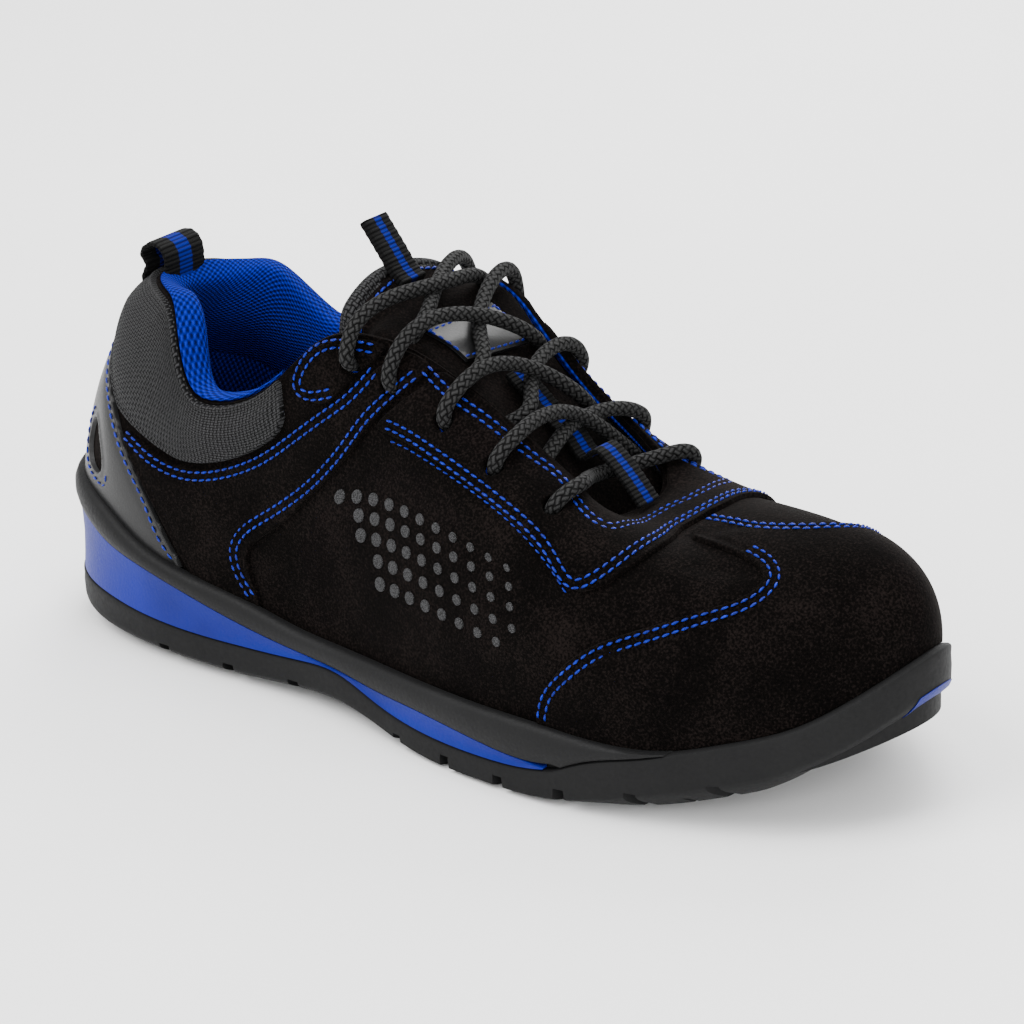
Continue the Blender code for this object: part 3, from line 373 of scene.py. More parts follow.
def open_spline(knots, values):
    """Smooth open curve through the values at the knots."""
    knots = np.asarray(knots, float)
    values = np.asarray(values, float)
    count = len(knots)
    step = np.diff(knots)
    matrix = np.eye(count)
    right = np.zeros_like(values)
    for i in range(1, count - 1):
        matrix[i, i - 1] = step[i - 1]
        matrix[i, i] = 2 * (step[i - 1] + step[i])
        matrix[i, i + 1] = step[i]
        right[i] = 6 * ((values[i + 1] - values[i]) / step[i] - (values[i] - values[i - 1]) / step[i - 1])
    bend = np.linalg.solve(matrix, right)

    def at(place):
        place = np.clip(np.asarray(place, float), knots[0], knots[-1])
        i = np.clip(np.searchsorted(knots, place, side="right") - 1, 0, count - 2)
        return blend(values, bend, i, i + 1, step[i], (place - knots[i]) / step[i])

    return at


def blend(values, bend, i, j, step, part):
    """Cubic between two knots."""
    step, part = step[..., None], part[..., None]
    rest = 1 - part
    curve = (rest**3 - rest) * bend[i] + (part**3 - part) * bend[j]
    return rest * values[i] + part * values[j] + curve * step**2 / 6


ROUND = float(len(OUTLINE))
HEEL = 10.0
plan = periodic_spline(np.arange(len(OUTLINE)), np.array(OUTLINE) * (LENGTH, BALL_WIDTH), ROUND)
heights = open_spline([row[0] for row in SOLE_HEIGHTS], [row[1:] for row in SOLE_HEIGHTS])
ribs = periodic_spline([row[0] for row in UPPER_RIBS], [row[1:] for row in UPPER_RIBS], ROUND)
HEIGHT_NAMES = ("floor", "edge", "low", "high", "lip", "bed")
dense = plan(np.linspace(0.0, ROUND, 2000))
CENTRE = np.append((dense.min(0) + dense.max(0)) / 2, 0.0)


def outward(at):
    """Unit vector out of the sole's plan."""
    along = plan(np.asarray(at, float) + 1e-3) - plan(np.asarray(at, float) - 1e-3)
    out = np.stack([-along[..., 1], along[..., 0]], -1)
    return out / np.linalg.norm(out, axis=-1, keepdims=True)


def plan_inset(at, inset):
    """Points of the plan moved in by the inset."""
    inset = np.broadcast_to(np.asarray(inset, float), np.shape(at))
    return plan(at) - outward(at) * inset[..., None]


def sole_height(x, name):
    """Height of one of the sole's named lines at a distance from the heel."""
    height = heights(np.asarray(x) / LENGTH)[..., HEIGHT_NAMES.index(name)] * HEEL_HEIGHT
    return np.where(height < FLAT_SPOT, 0.0, height) if name == "floor" else height


def ring(at, inset, z):
    """Row of points round the sole."""
    return np.concatenate([plan_inset(at, inset), np.broadcast_to(z, np.shape(at))[..., None]], -1)


def upper_face(at, up):
    """Outer face of the upper: round the shoe, and up from the sole (0) to the opening (1)."""
    at = np.asarray(at, float)
    up = np.asarray(up, float)[..., None]
    row = ribs(at)
    foot = ring(at, LIP_WALL + CLEAR, sole_height(plan(at)[..., 0], "lip"))
    edge = row[..., 0:3] * (LENGTH, BALL_WIDTH, INSTEP_HEIGHT)
    low = foot.copy()
    low[..., :2] += outward(at) * row[..., 3:4] * BALL_WIDTH
    low[..., 2] += row[..., 4] * INSTEP_HEIGHT
    high = edge.copy()
    high[..., :2] += (foot - edge)[..., :2] * row[..., 5:6]
    high[..., 2] -= row[..., 6] * INSTEP_HEIGHT
    rest = 1 - up
    return rest**3 * foot + 3 * rest**2 * up * low + 3 * rest * up**2 * high + up**3 * edge


def upper_normal(at, up):
    """Unit outward normal of the upper's outer face."""
    at = np.asarray(at, float)
    up = np.asarray(up, float)
    across = upper_face(at + 2e-3, up) - upper_face(at - 2e-3, up)
    rise = upper_face(at, np.minimum(up + 2e-3, 1.0)) - upper_face(at, np.maximum(up - 2e-3, 0.0))
    normal = np.cross(rise, across)
    return normal / np.linalg.norm(normal, axis=-1, keepdims=True)


def skin(at, up, offset):
    """Point of the upper moved along its normal; above the opening it carries straight on."""
    inside = np.clip(up, 0.0, 1.0)
    point = upper_face(at, inside) + upper_normal(at, inside) * np.asarray(offset, float)[..., None]
    tip = upper_face(at, np.full(np.shape(at), 1.0)) - upper_face(at, np.full(np.shape(at), 0.98))
    over = np.maximum(np.asarray(up, float) - 1.0, 0.0)[..., None] / 0.02
    return point + tip * over


def ladder(start, count):
    """Faces across a ring, from one side to the other."""
    half = count // 2
    faces = [(start, start + 1, start + count - 1)]
    for i in range(1, half - 1):
        faces.append((start + i, start + i + 1, start + count - i - 1, start + count - i))
    faces.append((start + half - 1, start + half, start + half + 1))
    return faces


def across(rows):
    """The same outline on the other side of the shoe."""
    return [(ROUND - 0.9 * at, up) for at, up in rows]


# Finer measures than the solids carry
LACE_LOOK = 0.0021
LACE_GAP = 0.0012
LACE_TIP = 0.35  # share of the radius at a cut end
LACE_SIDES = 14
HOLE = 0.0027
HOLE_SIDES = 16
PUNCH_REACH = 0.006
PANEL_ROLL = 0.0007
PUFF_START = 0.0020
PUFF_RUN = 0.0060
SEAM_DIP = 0.00022
SEAM_INSET = 0.0022
SEAM_WIDTH = 0.0009
STITCH_PITCH = 0.0027
STITCH_LENGTH = 0.0021
STITCH_RADIUS = 0.00036
STITCH_SKEW = 0.10
STITCH_SIDES = 6
SEAM_STEP = 0.0010
SEAM_TOP = 0.985  # no stitch lies nearer to the opening
TAPE_RIB = 0.00010
TAPE_RIB_PITCH = 0.0024
TAPE_POINTS = 130
ROLL_FROM = 6.55
ROLL_TO = 13.1
ROLL_TAPER = 0.30

# Grid on the skin: its steps in at and up, the metres of skin in one unit of each, and the rows at an edge
AT_STEP = 0.045
UP_STEP = 0.019
AT_LENGTH = 0.0358
UP_LENGTH = 0.0900
LEVELS = (-0.00030, -0.00075, -0.0016)
SOLE_SIDE = 130  # points along each side of the sole
SMOOTH_ANGLE = 38.0
SHEET_ANGLE = 60.0
SOLE_ANGLE = 32.0
TINY = 1e-12

# One stitch: share of its length, thickness and height
STITCH_RINGS = (
    (-0.5, 0.10, -0.5), (-0.34, 0.72, -0.05), (0.0, 1.0, 0.18), (0.34, 0.72, -0.05), (0.5, 0.10, -0.5),
)

# Section of a tape: share of its half width, and of its wall
TAPE_SECTION = (
    (-1.0, 0.25), (-0.97, 0.8), (-0.85, 1.0), (-0.5, 1.0), (-0.16, 1.0),
    (0.16, 1.0), (0.5, 1.0), (0.85, 1.0), (0.97, 0.8), (1.0, 0.25),
)

# Soft creases of the upper: place, half length along the shoe, half width, depth; rises are negative
CREASES = (
    # at     up     along  wide   depth
    (3.30, 0.300, 0.55, 0.050, 0.0009),
    (4.05, 0.330, 0.60, 0.050, 0.0008),
    (3.70, 0.170, 0.50, 0.055, -0.0007),
    (15.90, 0.300, 0.55, 0.050, 0.0009),
    (15.30, 0.340, 0.60, 0.050, 0.0008),
    (6.30, 0.460, 0.45, 0.050, 0.0008),
    (7.10, 0.350, 0.40, 0.060, -0.0006),
    (13.30, 0.460, 0.45, 0.050, 0.0008),
    (0.90, 0.720, 0.60, 0.030, 0.0006),
    (1.80, 0.560, 0.40, 0.045, 0.0006),
)

# Edge of the toe panel: the solid's outline, moved out over the vamp by the width of its seam
TOE_EDGE = [(at + shift, up + lift) for (at, up), (shift, lift) in zip(TOE_OVERLAY, (
    (0.07, 0.0), (0.07, 0.0), (0.07, 0.006), (0.06, 0.014), (0.05, 0.018), (0.03, 0.020),
    (0.02, 0.022), (0.05, 0.022), (0.08, 0.014), (0.08, 0.0), (0.06, 0.0), (0.0, 0.0),
    (0.0, 0.0), (0.0, 0.0), (0.0, 0.0), (-0.06, 0.0), (-0.05, 0.016), (0.0, 0.020),
    (0.0, 0.022), (-0.02, 0.020), (-0.04, 0.016), (-0.06, 0.010), (-0.07, 0.0), (-0.07, 0.0),
))]

# Lines of stitching on the outer side, read as at and up
SEAMS = {
    "toe": TOE_EDGE[:11],
    "toe_inner": TOE_EDGE[14:],
    "stay_outer": (
        (5.48, 0.630), (4.70, 0.600), (4.00, 0.560), (3.60, 0.480), (3.43, 0.410), (3.20, 0.460),
        (2.76, 0.612), (2.10, 0.752), (1.22, 0.822), (0.40, 0.842), (-0.40, 0.842), (-1.28, 0.812),
        (-1.88, 0.745), (-2.45, 0.612), (-2.80, 0.475), (-2.97, 0.410), (-3.12, 0.480),
        (-3.52, 0.560), (-4.12, 0.600), (-4.95, 0.630),
    ),
    "stay_inner": (
        (5.22, 0.935), (5.02, 0.895), (4.60, 0.885), (3.85, 0.885), (3.36, 0.870), (3.18, 0.790),
        (2.91, 0.745), (2.48, 0.800), (1.60, 0.880), (0.42, 0.915), (-0.42, 0.915), (-1.45, 0.880),
        (-2.22, 0.800), (-2.60, 0.745), (-2.86, 0.790), (-3.02, 0.870), (-3.46, 0.885),
        (-4.14, 0.885), (-4.55, 0.895),
    ),
    "quarter": (
        (5.28, 0.880), (5.49, 0.735), (5.68, 0.640), (5.95, 0.515), (6.48, 0.432), (6.96, 0.292),
        (7.05, 0.185), (7.00, 0.085), (6.90, 0.020),
    ),
    "quarter_top": (
        (8.22, 0.345), (7.96, 0.372), (7.64, 0.452), (7.36, 0.530), (7.07, 0.597), (6.76, 0.646),
        (6.40, 0.668), (6.12, 0.672), (5.90, 0.700), (5.70, 0.790), (5.60, 0.870),
    ),
    "tip": (
        (5.66, 0.940), (5.85, 0.955), (6.20, 0.955), (6.30, 0.900), (6.12, 0.770), (5.98, 0.752),
    ),
    "stay_edge": (
        (5.45, 0.572), (4.70, 0.553), (4.00, 0.510), (3.62, 0.425), (3.46, 0.352),
    ),
    "stay_edge_inner": (
        (-2.98, 0.352), (-3.14, 0.425), (-3.52, 0.510), (-4.12, 0.553), (-4.95, 0.572),
    ),
    "counter": (
        (7.58, 0.020), (7.70, 0.075), (7.90, 0.200), (8.08, 0.245), (8.32, 0.300), (8.62, 0.380),
        (9.05, 0.480), (9.45, 0.575),
    ),
    "counter_hole": (
        (8.92, 0.290), (9.03, 0.190), (8.90, 0.085), (8.60, 0.045), (8.33, 0.070), (8.34, 0.150),
    ),
}
REFLECTOR_ROWS = (0.345, 0.290, 0.235, 0.180, 0.125)
REFLECTOR_FROM = 5.95
REFLECTOR_TO = 3.70
REFLECTOR_END = 3.98
REFLECTOR_COUNT = 12
REFLECTOR_SLANT = 0.12
REFLECTOR_CLIMB = 0.045
REFLECTOR_RADIUS = 0.0021
REFLECTOR_SHRINK = 0.60
DOT_SIDES = 20

# One printed dot: share of its radius, and height over the skin
DOT_RINGS = (
    (0.05, 0.00042), (0.6, 0.00042), (0.93, 0.00040), (1.0, 0.00022), (1.0, 0.00002), (0.05, 0.00002),
)


def relief(at, up):
    """Depth that the soft creases take from the skin."""
    at, up = np.broadcast_arrays(np.asarray(at, float), np.asarray(up, float))
    depth = np.zeros(at.shape)
    for place, level, along, wide, deep in CREASES:
        gap = (at - place + ROUND / 2) % ROUND - ROUND / 2
        bent = up - level - 0.06 * gap
        depth += deep * np.exp(-((gap / along) ** 2) - (bent / wide) ** 2)
    return depth


def cover(at, up, offset):
    """Point over the creased skin of the upper."""
    offset = np.asarray(offset, float) - relief(at, up)
    return skin(np.asarray(at, float), np.asarray(up, float), np.broadcast_to(offset, np.shape(at)))


def skin_spot(at, up, offset=0.0):
    """One point of the upper moved along its normal."""
    return skin(np.array([at]), np.array([up]), np.array([offset]))[0]


def unit(vectors):
    """Vectors of length one."""
    return vectors / np.maximum(np.linalg.norm(vectors, axis=-1, keepdims=True), TINY)


def run_along(points):
    """Distance from the first point to each one along their line."""
    return np.concatenate([[0.0], np.cumsum(np.linalg.norm(np.diff(points, axis=0), axis=1))])


def resampled(points, count):
    """Smooth curve through the points, at a new count of places."""
    return open_spline(np.arange(len(points)), points)(np.linspace(0, len(points) - 1, count))


def sheet_normals(grid):
    """Unit normals of a grid of points, all on its upper side."""
    normal = unit(np.cross(np.gradient(grid, axis=0), np.gradient(grid, axis=1)))
    return np.where(normal[..., 2:] < 0, -normal, normal)


def rounded(outline):
    """The outline with its corners cut round, three times over."""
    points = np.array(outline, float)
    for _ in range(3):
        ahead = np.roll(points, -1, axis=0)
        points = np.stack([points * 0.75 + ahead * 0.25, points * 0.25 + ahead * 0.75], 1).reshape(-1, 2)
    return points


def inside(points, outline):
    """Which points lie within the outline."""
    found = np.zeros(len(points), bool)
    before = np.roll(outline, 1, axis=0)
    for (x1, y1), (x2, y2) in zip(before, outline):
        if y1 != y2:
            crossing = (points[:, 1] < y1) != (points[:, 1] < y2)
            x = x1 + (points[:, 1] - y1) / (y2 - y1) * (x2 - x1)
            found ^= crossing & (points[:, 0] < x)
    return found


def depth_inside(points, spots, outline):
    """Distance to the outline over the skin, negative within it."""
    line = skin(outline[:, 0], outline[:, 1], np.zeros(len(outline)))
    line[:, 2] += np.minimum(outline[:, 1], 0.0) * 3 * UP_LENGTH
    ahead = np.roll(line, -1, axis=0)
    nearest = np.full(len(points), 1.0)
    for a, b in zip(line, ahead):
        run = b - a
        share = np.clip((spots - a) @ run / max(run @ run, 1e-12), 0.0, 1.0)
        nearest = np.minimum(nearest, np.linalg.norm(spots - a - share[:, None] * run, axis=1))
    return np.where(inside(points, outline), -nearest, nearest)


def divide(cells, places, depth, level):
    """Cuts cells along a level of their depth: the ones under it, and the ones over it."""
    under, over, made = [], [], {}
    for cell in cells:
        high = [depth[i] > level for i in cell]
        if all(high):
            over.append(cell)
            continue
        if not any(high):
            under.append(cell)
            continue
        halves = ([], [])
        for k, i in enumerate(cell):
            j = cell[(k + 1) % len(cell)]
            halves[high[k]].append(i)
            if high[k] != high[(k + 1) % len(cell)]:
                key = (min(i, j), max(i, j))
                if key not in made:
                    share = (level - depth[key[0]]) / (depth[key[1]] - depth[key[0]])
                    share = min(max(share, 0.02), 0.98)
                    made[key] = len(places)
                    places.append(places[key[0]] * (1 - share) + places[key[1]] * share)
                    depth.append(level)
                halves[0].append(made[key])
                halves[1].append(made[key])
        if len(halves[0]) > 2:
            under.append(halves[0])
        if len(halves[1]) > 2:
            over.append(halves[1])
    return under, over


def panel_cells(outline, holes, rounds):
    """Places, depths and cells of the skin within an outline, with holes and with rows along the edge."""
    outline = rounded(outline)
    low, high = outline.min(0), outline.max(0)
    ats = np.arange(low[0] - AT_STEP, high[0] + 2 * AT_STEP, AT_STEP)
    ups = np.arange(max(low[1] - UP_STEP, 0.0), min(high[1] + UP_STEP, 1.0) + UP_STEP / 2, UP_STEP)
    at, up = np.meshgrid(ats, np.minimum(ups, 1.0), indexing="ij")
    places = np.stack([at.ravel(), up.ravel()], 1)
    spots = skin(places[:, 0], places[:, 1], np.zeros(len(places)))
    depth = depth_inside(places, spots, outline)
    for hole in holes:
        depth = np.maximum(depth, -depth_inside(places, spots, rounded(hole)))
    for place, level in rounds:
        depth = np.maximum(depth, HOLE - np.linalg.norm(spots - skin_spot(place, level), axis=1))
    count = len(ups)
    cells = []
    for i in range(len(ats) - 1):
        for j in range(count - 1):
            cell = [i * count + j, (i + 1) * count + j, (i + 1) * count + j + 1, i * count + j + 1]
            if min(depth[k] for k in cell) < 0.0:
                cells.append(cell)
    places, depth = list(places), list(depth)
    cells, _ = divide(cells, places, depth, 0.0)
    for level in LEVELS:
        deep, edge = divide(cells, places, depth, level)
        cells = deep + edge
    return np.array(places), np.array(depth), cells


# Finishes


class Finish:
    """A Principled material and the short ways of wiring it."""

    def __init__(self, name, rough=0.6, sheen=0.0, coat=0.0, gloss=0.12):
        self.made = bpy.data.materials.new(name)
        self.made.use_nodes = True
        self.tree = self.made.node_tree
        self.shader = self.tree.nodes["Principled BSDF"]
        self.shader.inputs["Roughness"].default_value = rough
        self.shader.inputs["Sheen Weight"].default_value = sheen
        self.shader.inputs["Sheen Roughness"].default_value = 0.45
        self.shader.inputs["Coat Weight"].default_value = coat
        self.shader.inputs["Specular IOR Level"].default_value = gloss
        spot = self.tree.nodes.new("ShaderNodeTexCoord")
        self.place = spot.outputs["Object"]
        self.cloth = spot.outputs["UV"]
        self.height = None

    def node(self, kind, **values):
        """A shader node of this kind with its settings."""
        made = self.tree.nodes.new("ShaderNode" + kind)
        for key, value in values.items():
            setattr(made, key, value)
        return made

    def link(self, start, end):
        self.tree.links.new(start, end)

    def noise(self, scale, detail=3.0):
        made = self.node("TexNoise")
        made.inputs["Scale"].default_value = scale
        made.inputs["Detail"].default_value = detail
        self.link(self.place, made.inputs["Vector"])
        return made.outputs["Fac"]

    def cells(self, scale, feature="F1"):
        made = self.node("TexVoronoi", feature=feature)
        made.inputs["Scale"].default_value = scale
        self.link(self.place, made.inputs["Vector"])
        return made.outputs["Distance"]

    def sum(self, operation, *inputs):
        """A Math node on sockets and numbers."""
        made = self.node("Math", operation=operation)
        for k, value in enumerate(inputs):
            if isinstance(value, (int, float)):
                made.inputs[k].default_value = value
            else:
                self.link(value, made.inputs[k])
        return made.outputs[0]

    def ramp(self, value, *stops):
        """Colours along a value, each stop a place and a colour."""
        made = self.node("ValToRGB")
        line = made.color_ramp.elements
        while len(line) < len(stops):
            line.new(0.5)
        for stop, (place, colour) in zip(line, stops):
            stop.position = place
            stop.color = (*colour, 1.0)
        self.link(value, made.inputs["Fac"])
        return made.outputs["Color"]

    def colour(self, value):
        self.link(value, self.shader.inputs["Base Color"])

    def rough(self, value, low, high):
        made = self.node("MapRange")
        made.inputs["To Min"].default_value = low
        made.inputs["To Max"].default_value = high
        self.link(value, made.inputs["Value"])
        self.link(made.outputs["Result"], self.shader.inputs["Roughness"])

    def bump(self, value, depth, strength=1.0):
        made = self.node("Bump")
        made.inputs["Strength"].default_value = strength
        made.inputs["Distance"].default_value = depth
        self.link(value, made.inputs["Height"])
        if self.height:
            self.link(self.height, made.inputs["Normal"])
        self.height = made.outputs["Normal"]
        self.link(self.height, self.shader.inputs["Normal"])


def dim(colour, share):
    """The colour with all its channels scaled."""
    return tuple(c * share for c in colour)


def suede(name, colour):
    """Short nap: soft clouds of brushed fibres over fine grain, with a dusty sheen."""
    made = Finish(name, rough=0.95, sheen=0.025)
    made.shader.inputs["Sheen Tint"].default_value = (0.42, 0.36, 0.33, 1.0)
    made.shader.inputs["Specular IOR Level"].default_value = 0.03
    clouds = made.sum("MULTIPLY", made.noise(60.0, 3.0), 0.30)
    grain = made.sum("ADD", made.sum("MULTIPLY", made.noise(1500.0, 4.0), 0.70), clouds)
    made.colour(made.ramp(grain, (0.36, dim(colour, 0.30)), (0.50, colour), (0.64, dim(colour, 4.5))))
    made.bump(made.noise(700.0, 5.0), 0.00030, 0.70)
    made.bump(made.noise(3600.0, 2.0), 0.00010, 0.6)
    return made.made


def cloth_parts(made):
    """The two measures of a finish's cloth map."""
    parts = made.node("SeparateXYZ")
    made.link(made.cloth, parts.inputs[0])
    return parts.outputs[0], parts.outputs[1]


def fuzz(made, value, scale, share, base):
    """The value roughened by fine fibres."""
    fibres = made.sum("MULTIPLY", made.noise(scale, 2.0), share)
    return made.sum("MULTIPLY", value, made.sum("ADD", fibres, base))


def weave(name, colour, light, pitch, depth):
    """Basket weave of thick yarns, with a painted highlight on their crowns and painted shade between them.
    """
    made = Finish(name, rough=0.72, sheen=0.01, gloss=0.06)
    turn = math.pi / pitch
    u, v = (made.sum("MULTIPLY", part, turn) for part in cloth_parts(made))
    warp, weft = (made.sum("ABSOLUTE", made.sum("SINE", k)) for k in (u, v))
    over = made.sum("GREATER_THAN", made.sum("MULTIPLY", made.sum("SINE", u), made.sum("SINE", v)), 0.0)
    mixed = made.node("Mix")
    made.link(over, mixed.inputs[0])
    made.link(warp, mixed.inputs[2])
    made.link(weft, mixed.inputs[3])
    crown = made.sum("POWER", mixed.outputs[0], 0.8)
    fibre_and_highlight = fuzz(made, crown, 2400.0, 0.9, 0.5)
    # Painted shade in the hollows of the weave and a painted highlight, the light colour, on the yarns'
    # crowns; fine fibres break it up.
    made.colour(made.ramp(fibre_and_highlight, (0.10, dim(colour, 0.25)), (0.55, colour), (0.97, light)))
    made.bump(crown, depth, 0.9)
    made.bump(made.noise(5200.0, 1.0), 0.00006, 0.4)
    return made.made


def mesh_cloth(name, colour, light, pitch):
    """Spacer mesh: knitted loops round small pits, with painted shade in the pits and a painted highlight on
    the loops.
    """
    made = Finish(name, rough=0.85, sheen=0.02, gloss=0.04)
    made.shader.inputs["Sheen Tint"].default_value = (0.45, 0.55, 1.0, 1.0)
    turn = 2 * math.pi / pitch
    u, v = (made.sum("MULTIPLY", part, turn) for part in cloth_parts(made))
    rows = made.sum("COSINE", made.sum("ADD", u, made.sum("MULTIPLY", v, 0.5)))
    lines = made.sum("COSINE", made.sum("SUBTRACT", u, made.sum("MULTIPLY", v, 0.5)))
    pits = made.sum("MULTIPLY", made.sum("ADD", rows, lines), 0.5)
    fibres = made.sum("MULTIPLY", made.noise(2200.0, 2.0), 0.55)
    level = made.sum("ADD", made.sum("MULTIPLY", pits, 0.42), fibres)
    # Painted highlight, the light colour, on the raised loops; painted shade darkens the pits.
    made.colour(made.ramp(level, (0.02, light), (0.30, colour), (0.62, dim(colour, 0.30))))
    made.bump(made.sum("MULTIPLY", pits, -1.0), 0.00035, 0.8)
    made.bump(made.noise(4200.0, 2.0), 0.00008, 0.5)
    return made.made


def moulded(name, colour, grain, depth, rough=0.55, coat=0.0, gloss=0.14):
    """Moulded compound with a fine spark-eroded grain."""
    made = Finish(name, rough=rough, coat=coat, gloss=gloss)
    speck = made.noise(grain, 3.0)
    made.colour(made.ramp(made.noise(38.0, 4.0), (0.30, dim(colour, 0.78)), (0.70, dim(colour, 1.22))))
    made.rough(speck, max(rough - 0.12, 0.2), rough + 0.14)
    made.bump(made.cells(grain * 0.55, "SMOOTH_F1"), depth, 0.55)
    made.bump(speck, depth * 0.6, 0.5)
    return made.made


def webbing(name, colour, stripe, share, width):
    """Ribbed tape whose middle yarns are coloured; its map runs across and along in metres."""
    made = Finish(name, rough=0.80, sheen=0.01, gloss=0.06)
    across_tape, along_tape = cloth_parts(made)
    ribs = made.sum("ABSOLUTE", made.sum("SINE", made.sum("MULTIPLY", along_tape, math.pi / 0.0012)))
    yarns = made.sum("ABSOLUTE", made.sum("SINE", made.sum("MULTIPLY", across_tape, math.pi / 0.00055)))
    middle = made.sum("LESS_THAN", made.sum("ABSOLUTE", across_tape), share * width / 2)
    level = made.sum("MULTIPLY", ribs, made.sum("ADD", made.sum("MULTIPLY", yarns, 0.4), 0.6))
    # Both ramps follow the ribs' height: painted shade in the grooves and a painted highlight on the rib
    # crowns, over the black yarns and the coloured stripe alike.
    dark = made.ramp(level, (0.05, dim(colour, 0.3)), (0.6, colour), (1.0, dim(colour, 2.2)))
    bright = made.ramp(level, (0.05, dim(stripe, 0.3)), (0.6, stripe), (1.0, dim(stripe, 1.5)))
    mixed = made.node("Mix", data_type="RGBA")
    made.link(middle, mixed.inputs["Factor"])
    made.link(dark, mixed.inputs[6])
    made.link(bright, mixed.inputs[7])
    made.colour(mixed.outputs[2])
    made.bump(ribs, 0.00028, 0.9)
    made.bump(yarns, 0.00008, 0.5)
    return made.made


def braid(name, colour, light):
    """Round braid: two families of yarns that wind round each other, with a painted highlight on their crowns
    and painted shade between them; its map runs round and along.
    """
    made = Finish(name, rough=0.78, sheen=0.01, gloss=0.06)
    round_part, along_part = cloth_parts(made)
    round_turn = made.sum("MULTIPLY", round_part, math.pi * 6)
    along = made.sum("MULTIPLY", along_part, math.pi / 0.0026)
    left = made.sum("SINE", made.sum("ADD", round_turn, along))
    right = made.sum("SINE", made.sum("SUBTRACT", round_turn, along))
    over = made.sum("GREATER_THAN", made.sum("MULTIPLY", left, right), 0.0)
    mixed = made.node("Mix")
    made.link(over, mixed.inputs[0])
    made.link(made.sum("ABSOLUTE", left), mixed.inputs[2])
    made.link(made.sum("ABSOLUTE", right), mixed.inputs[3])
    crown = mixed.outputs[0]
    level = fuzz(made, crown, 3000.0, 0.8, 0.6)
    # Painted shade between the yarns and a painted highlight, the light colour, on their crowns.
    made.colour(made.ramp(level, (0.08, dim(colour, 0.25)), (0.55, colour), (0.98, light)))
    made.bump(crown, 0.00045, 1.0)
    made.bump(made.noise(5200.0, 2.0), 0.00006, 0.4)
    return made.made


def thread(name, colour, light):
    """Twisted sewing thread with a silky highlight, partly from its gloss and partly painted as lighter
    flecks in its colour.
    """
    made = Finish(name, rough=0.42, sheen=0.02, gloss=0.16)
    # The light colour is a painted highlight, laid as random flecks over the thread.
    made.colour(made.ramp(made.noise(1300.0, 2.0), (0.34, dim(colour, 0.55)), (0.52, colour), (0.70, light)))
    made.bump(made.noise(4200.0, 1.0), 0.00012, 0.7)
    return made.made


def glass_bead(name):
    """Grey reflective print: fine glass beads in a dark binder."""
    made = Finish(name, rough=0.55, gloss=0.08)
    speck = made.cells(3400.0)
    bead, binder, shade = (0.070, 0.070, 0.072), (0.022, 0.022, 0.023), (0.006, 0.006, 0.006)
    made.colour(made.ramp(speck, (0.12, bead), (0.42, binder), (0.8, shade)))
    made.bump(speck, -0.00012, 0.8)
    return made.made


def floor_paint(name):
    """Plain pale studio floor."""
    made = Finish(name, rough=0.9)
    made.colour(made.ramp(made.noise(6.0, 2.0), (0.3, (0.86, 0.86, 0.86)), (0.7, (0.89, 0.89, 0.89))))
    return made.made


def finish(key):
    """The finish of this name, made once from the settings."""
    if key in bpy.data.materials:
        return bpy.data.materials[key]
    look = bpy.context.scene.sneaker_look
    dark, blue, grey = tuple(look.suede), tuple(look.accent), tuple(look.compound)
    bright = tuple(look.thread)
    tape_black = (0.0028, 0.0028, 0.0028)
    # The second colour given to the weaves, the spacer mesh, the braid and the thread is their painted
    # highlight.
    makers = {
        "suede": lambda: suede(key, dark),
        "cordura": lambda: weave(
            key, (0.0030, 0.0030, 0.0031), (0.030, 0.030, 0.031), pitch=0.00135, depth=0.00042
        ),
        "wing_cloth": lambda: weave(
            key, (0.002, 0.002, 0.002), (0.014, 0.014, 0.014), pitch=0.0009, depth=0.00018
        ),
        "spacer_mesh": lambda: mesh_cloth(key, blue, dim(blue, 2.3), pitch=0.0019),
        "compound": lambda: moulded(key, grey, grain=1500.0, depth=0.00016, rough=0.58),
        "tread": lambda: moulded(key, dim(grey, 0.85), grain=900.0, depth=0.00012, rough=0.66),
        "band_foam": lambda: moulded(key, dim(blue, 1.3), grain=1900.0, depth=0.00010, rough=0.50),
        "trim": lambda: moulded(
            key, dim(grey, 1.3), grain=2600.0, depth=0.00005, rough=0.42, coat=0.05, gloss=0.22
        ),
        "heel_tape": lambda: webbing(key, tape_black, blue, 0.33, HEEL_LOOP_WIDTH),
        "tongue_tape": lambda: webbing(key, tape_black, blue, 0.27, TONGUE_LOOP_WIDTH),
        "keeper_tape": lambda: webbing(key, tape_black, blue, 0.30, KEEPER_WIDTH),
        "lace_braid": lambda: braid(key, (0.0032, 0.0032, 0.0032), (0.022, 0.022, 0.022)),
        "blue_thread": lambda: thread(key, bright, dim(bright, 2.0)),
        "reflective": lambda: glass_bead(key),
        "studio_floor": lambda: floor_paint(key),
    }
    return makers[key]()


# Pieces


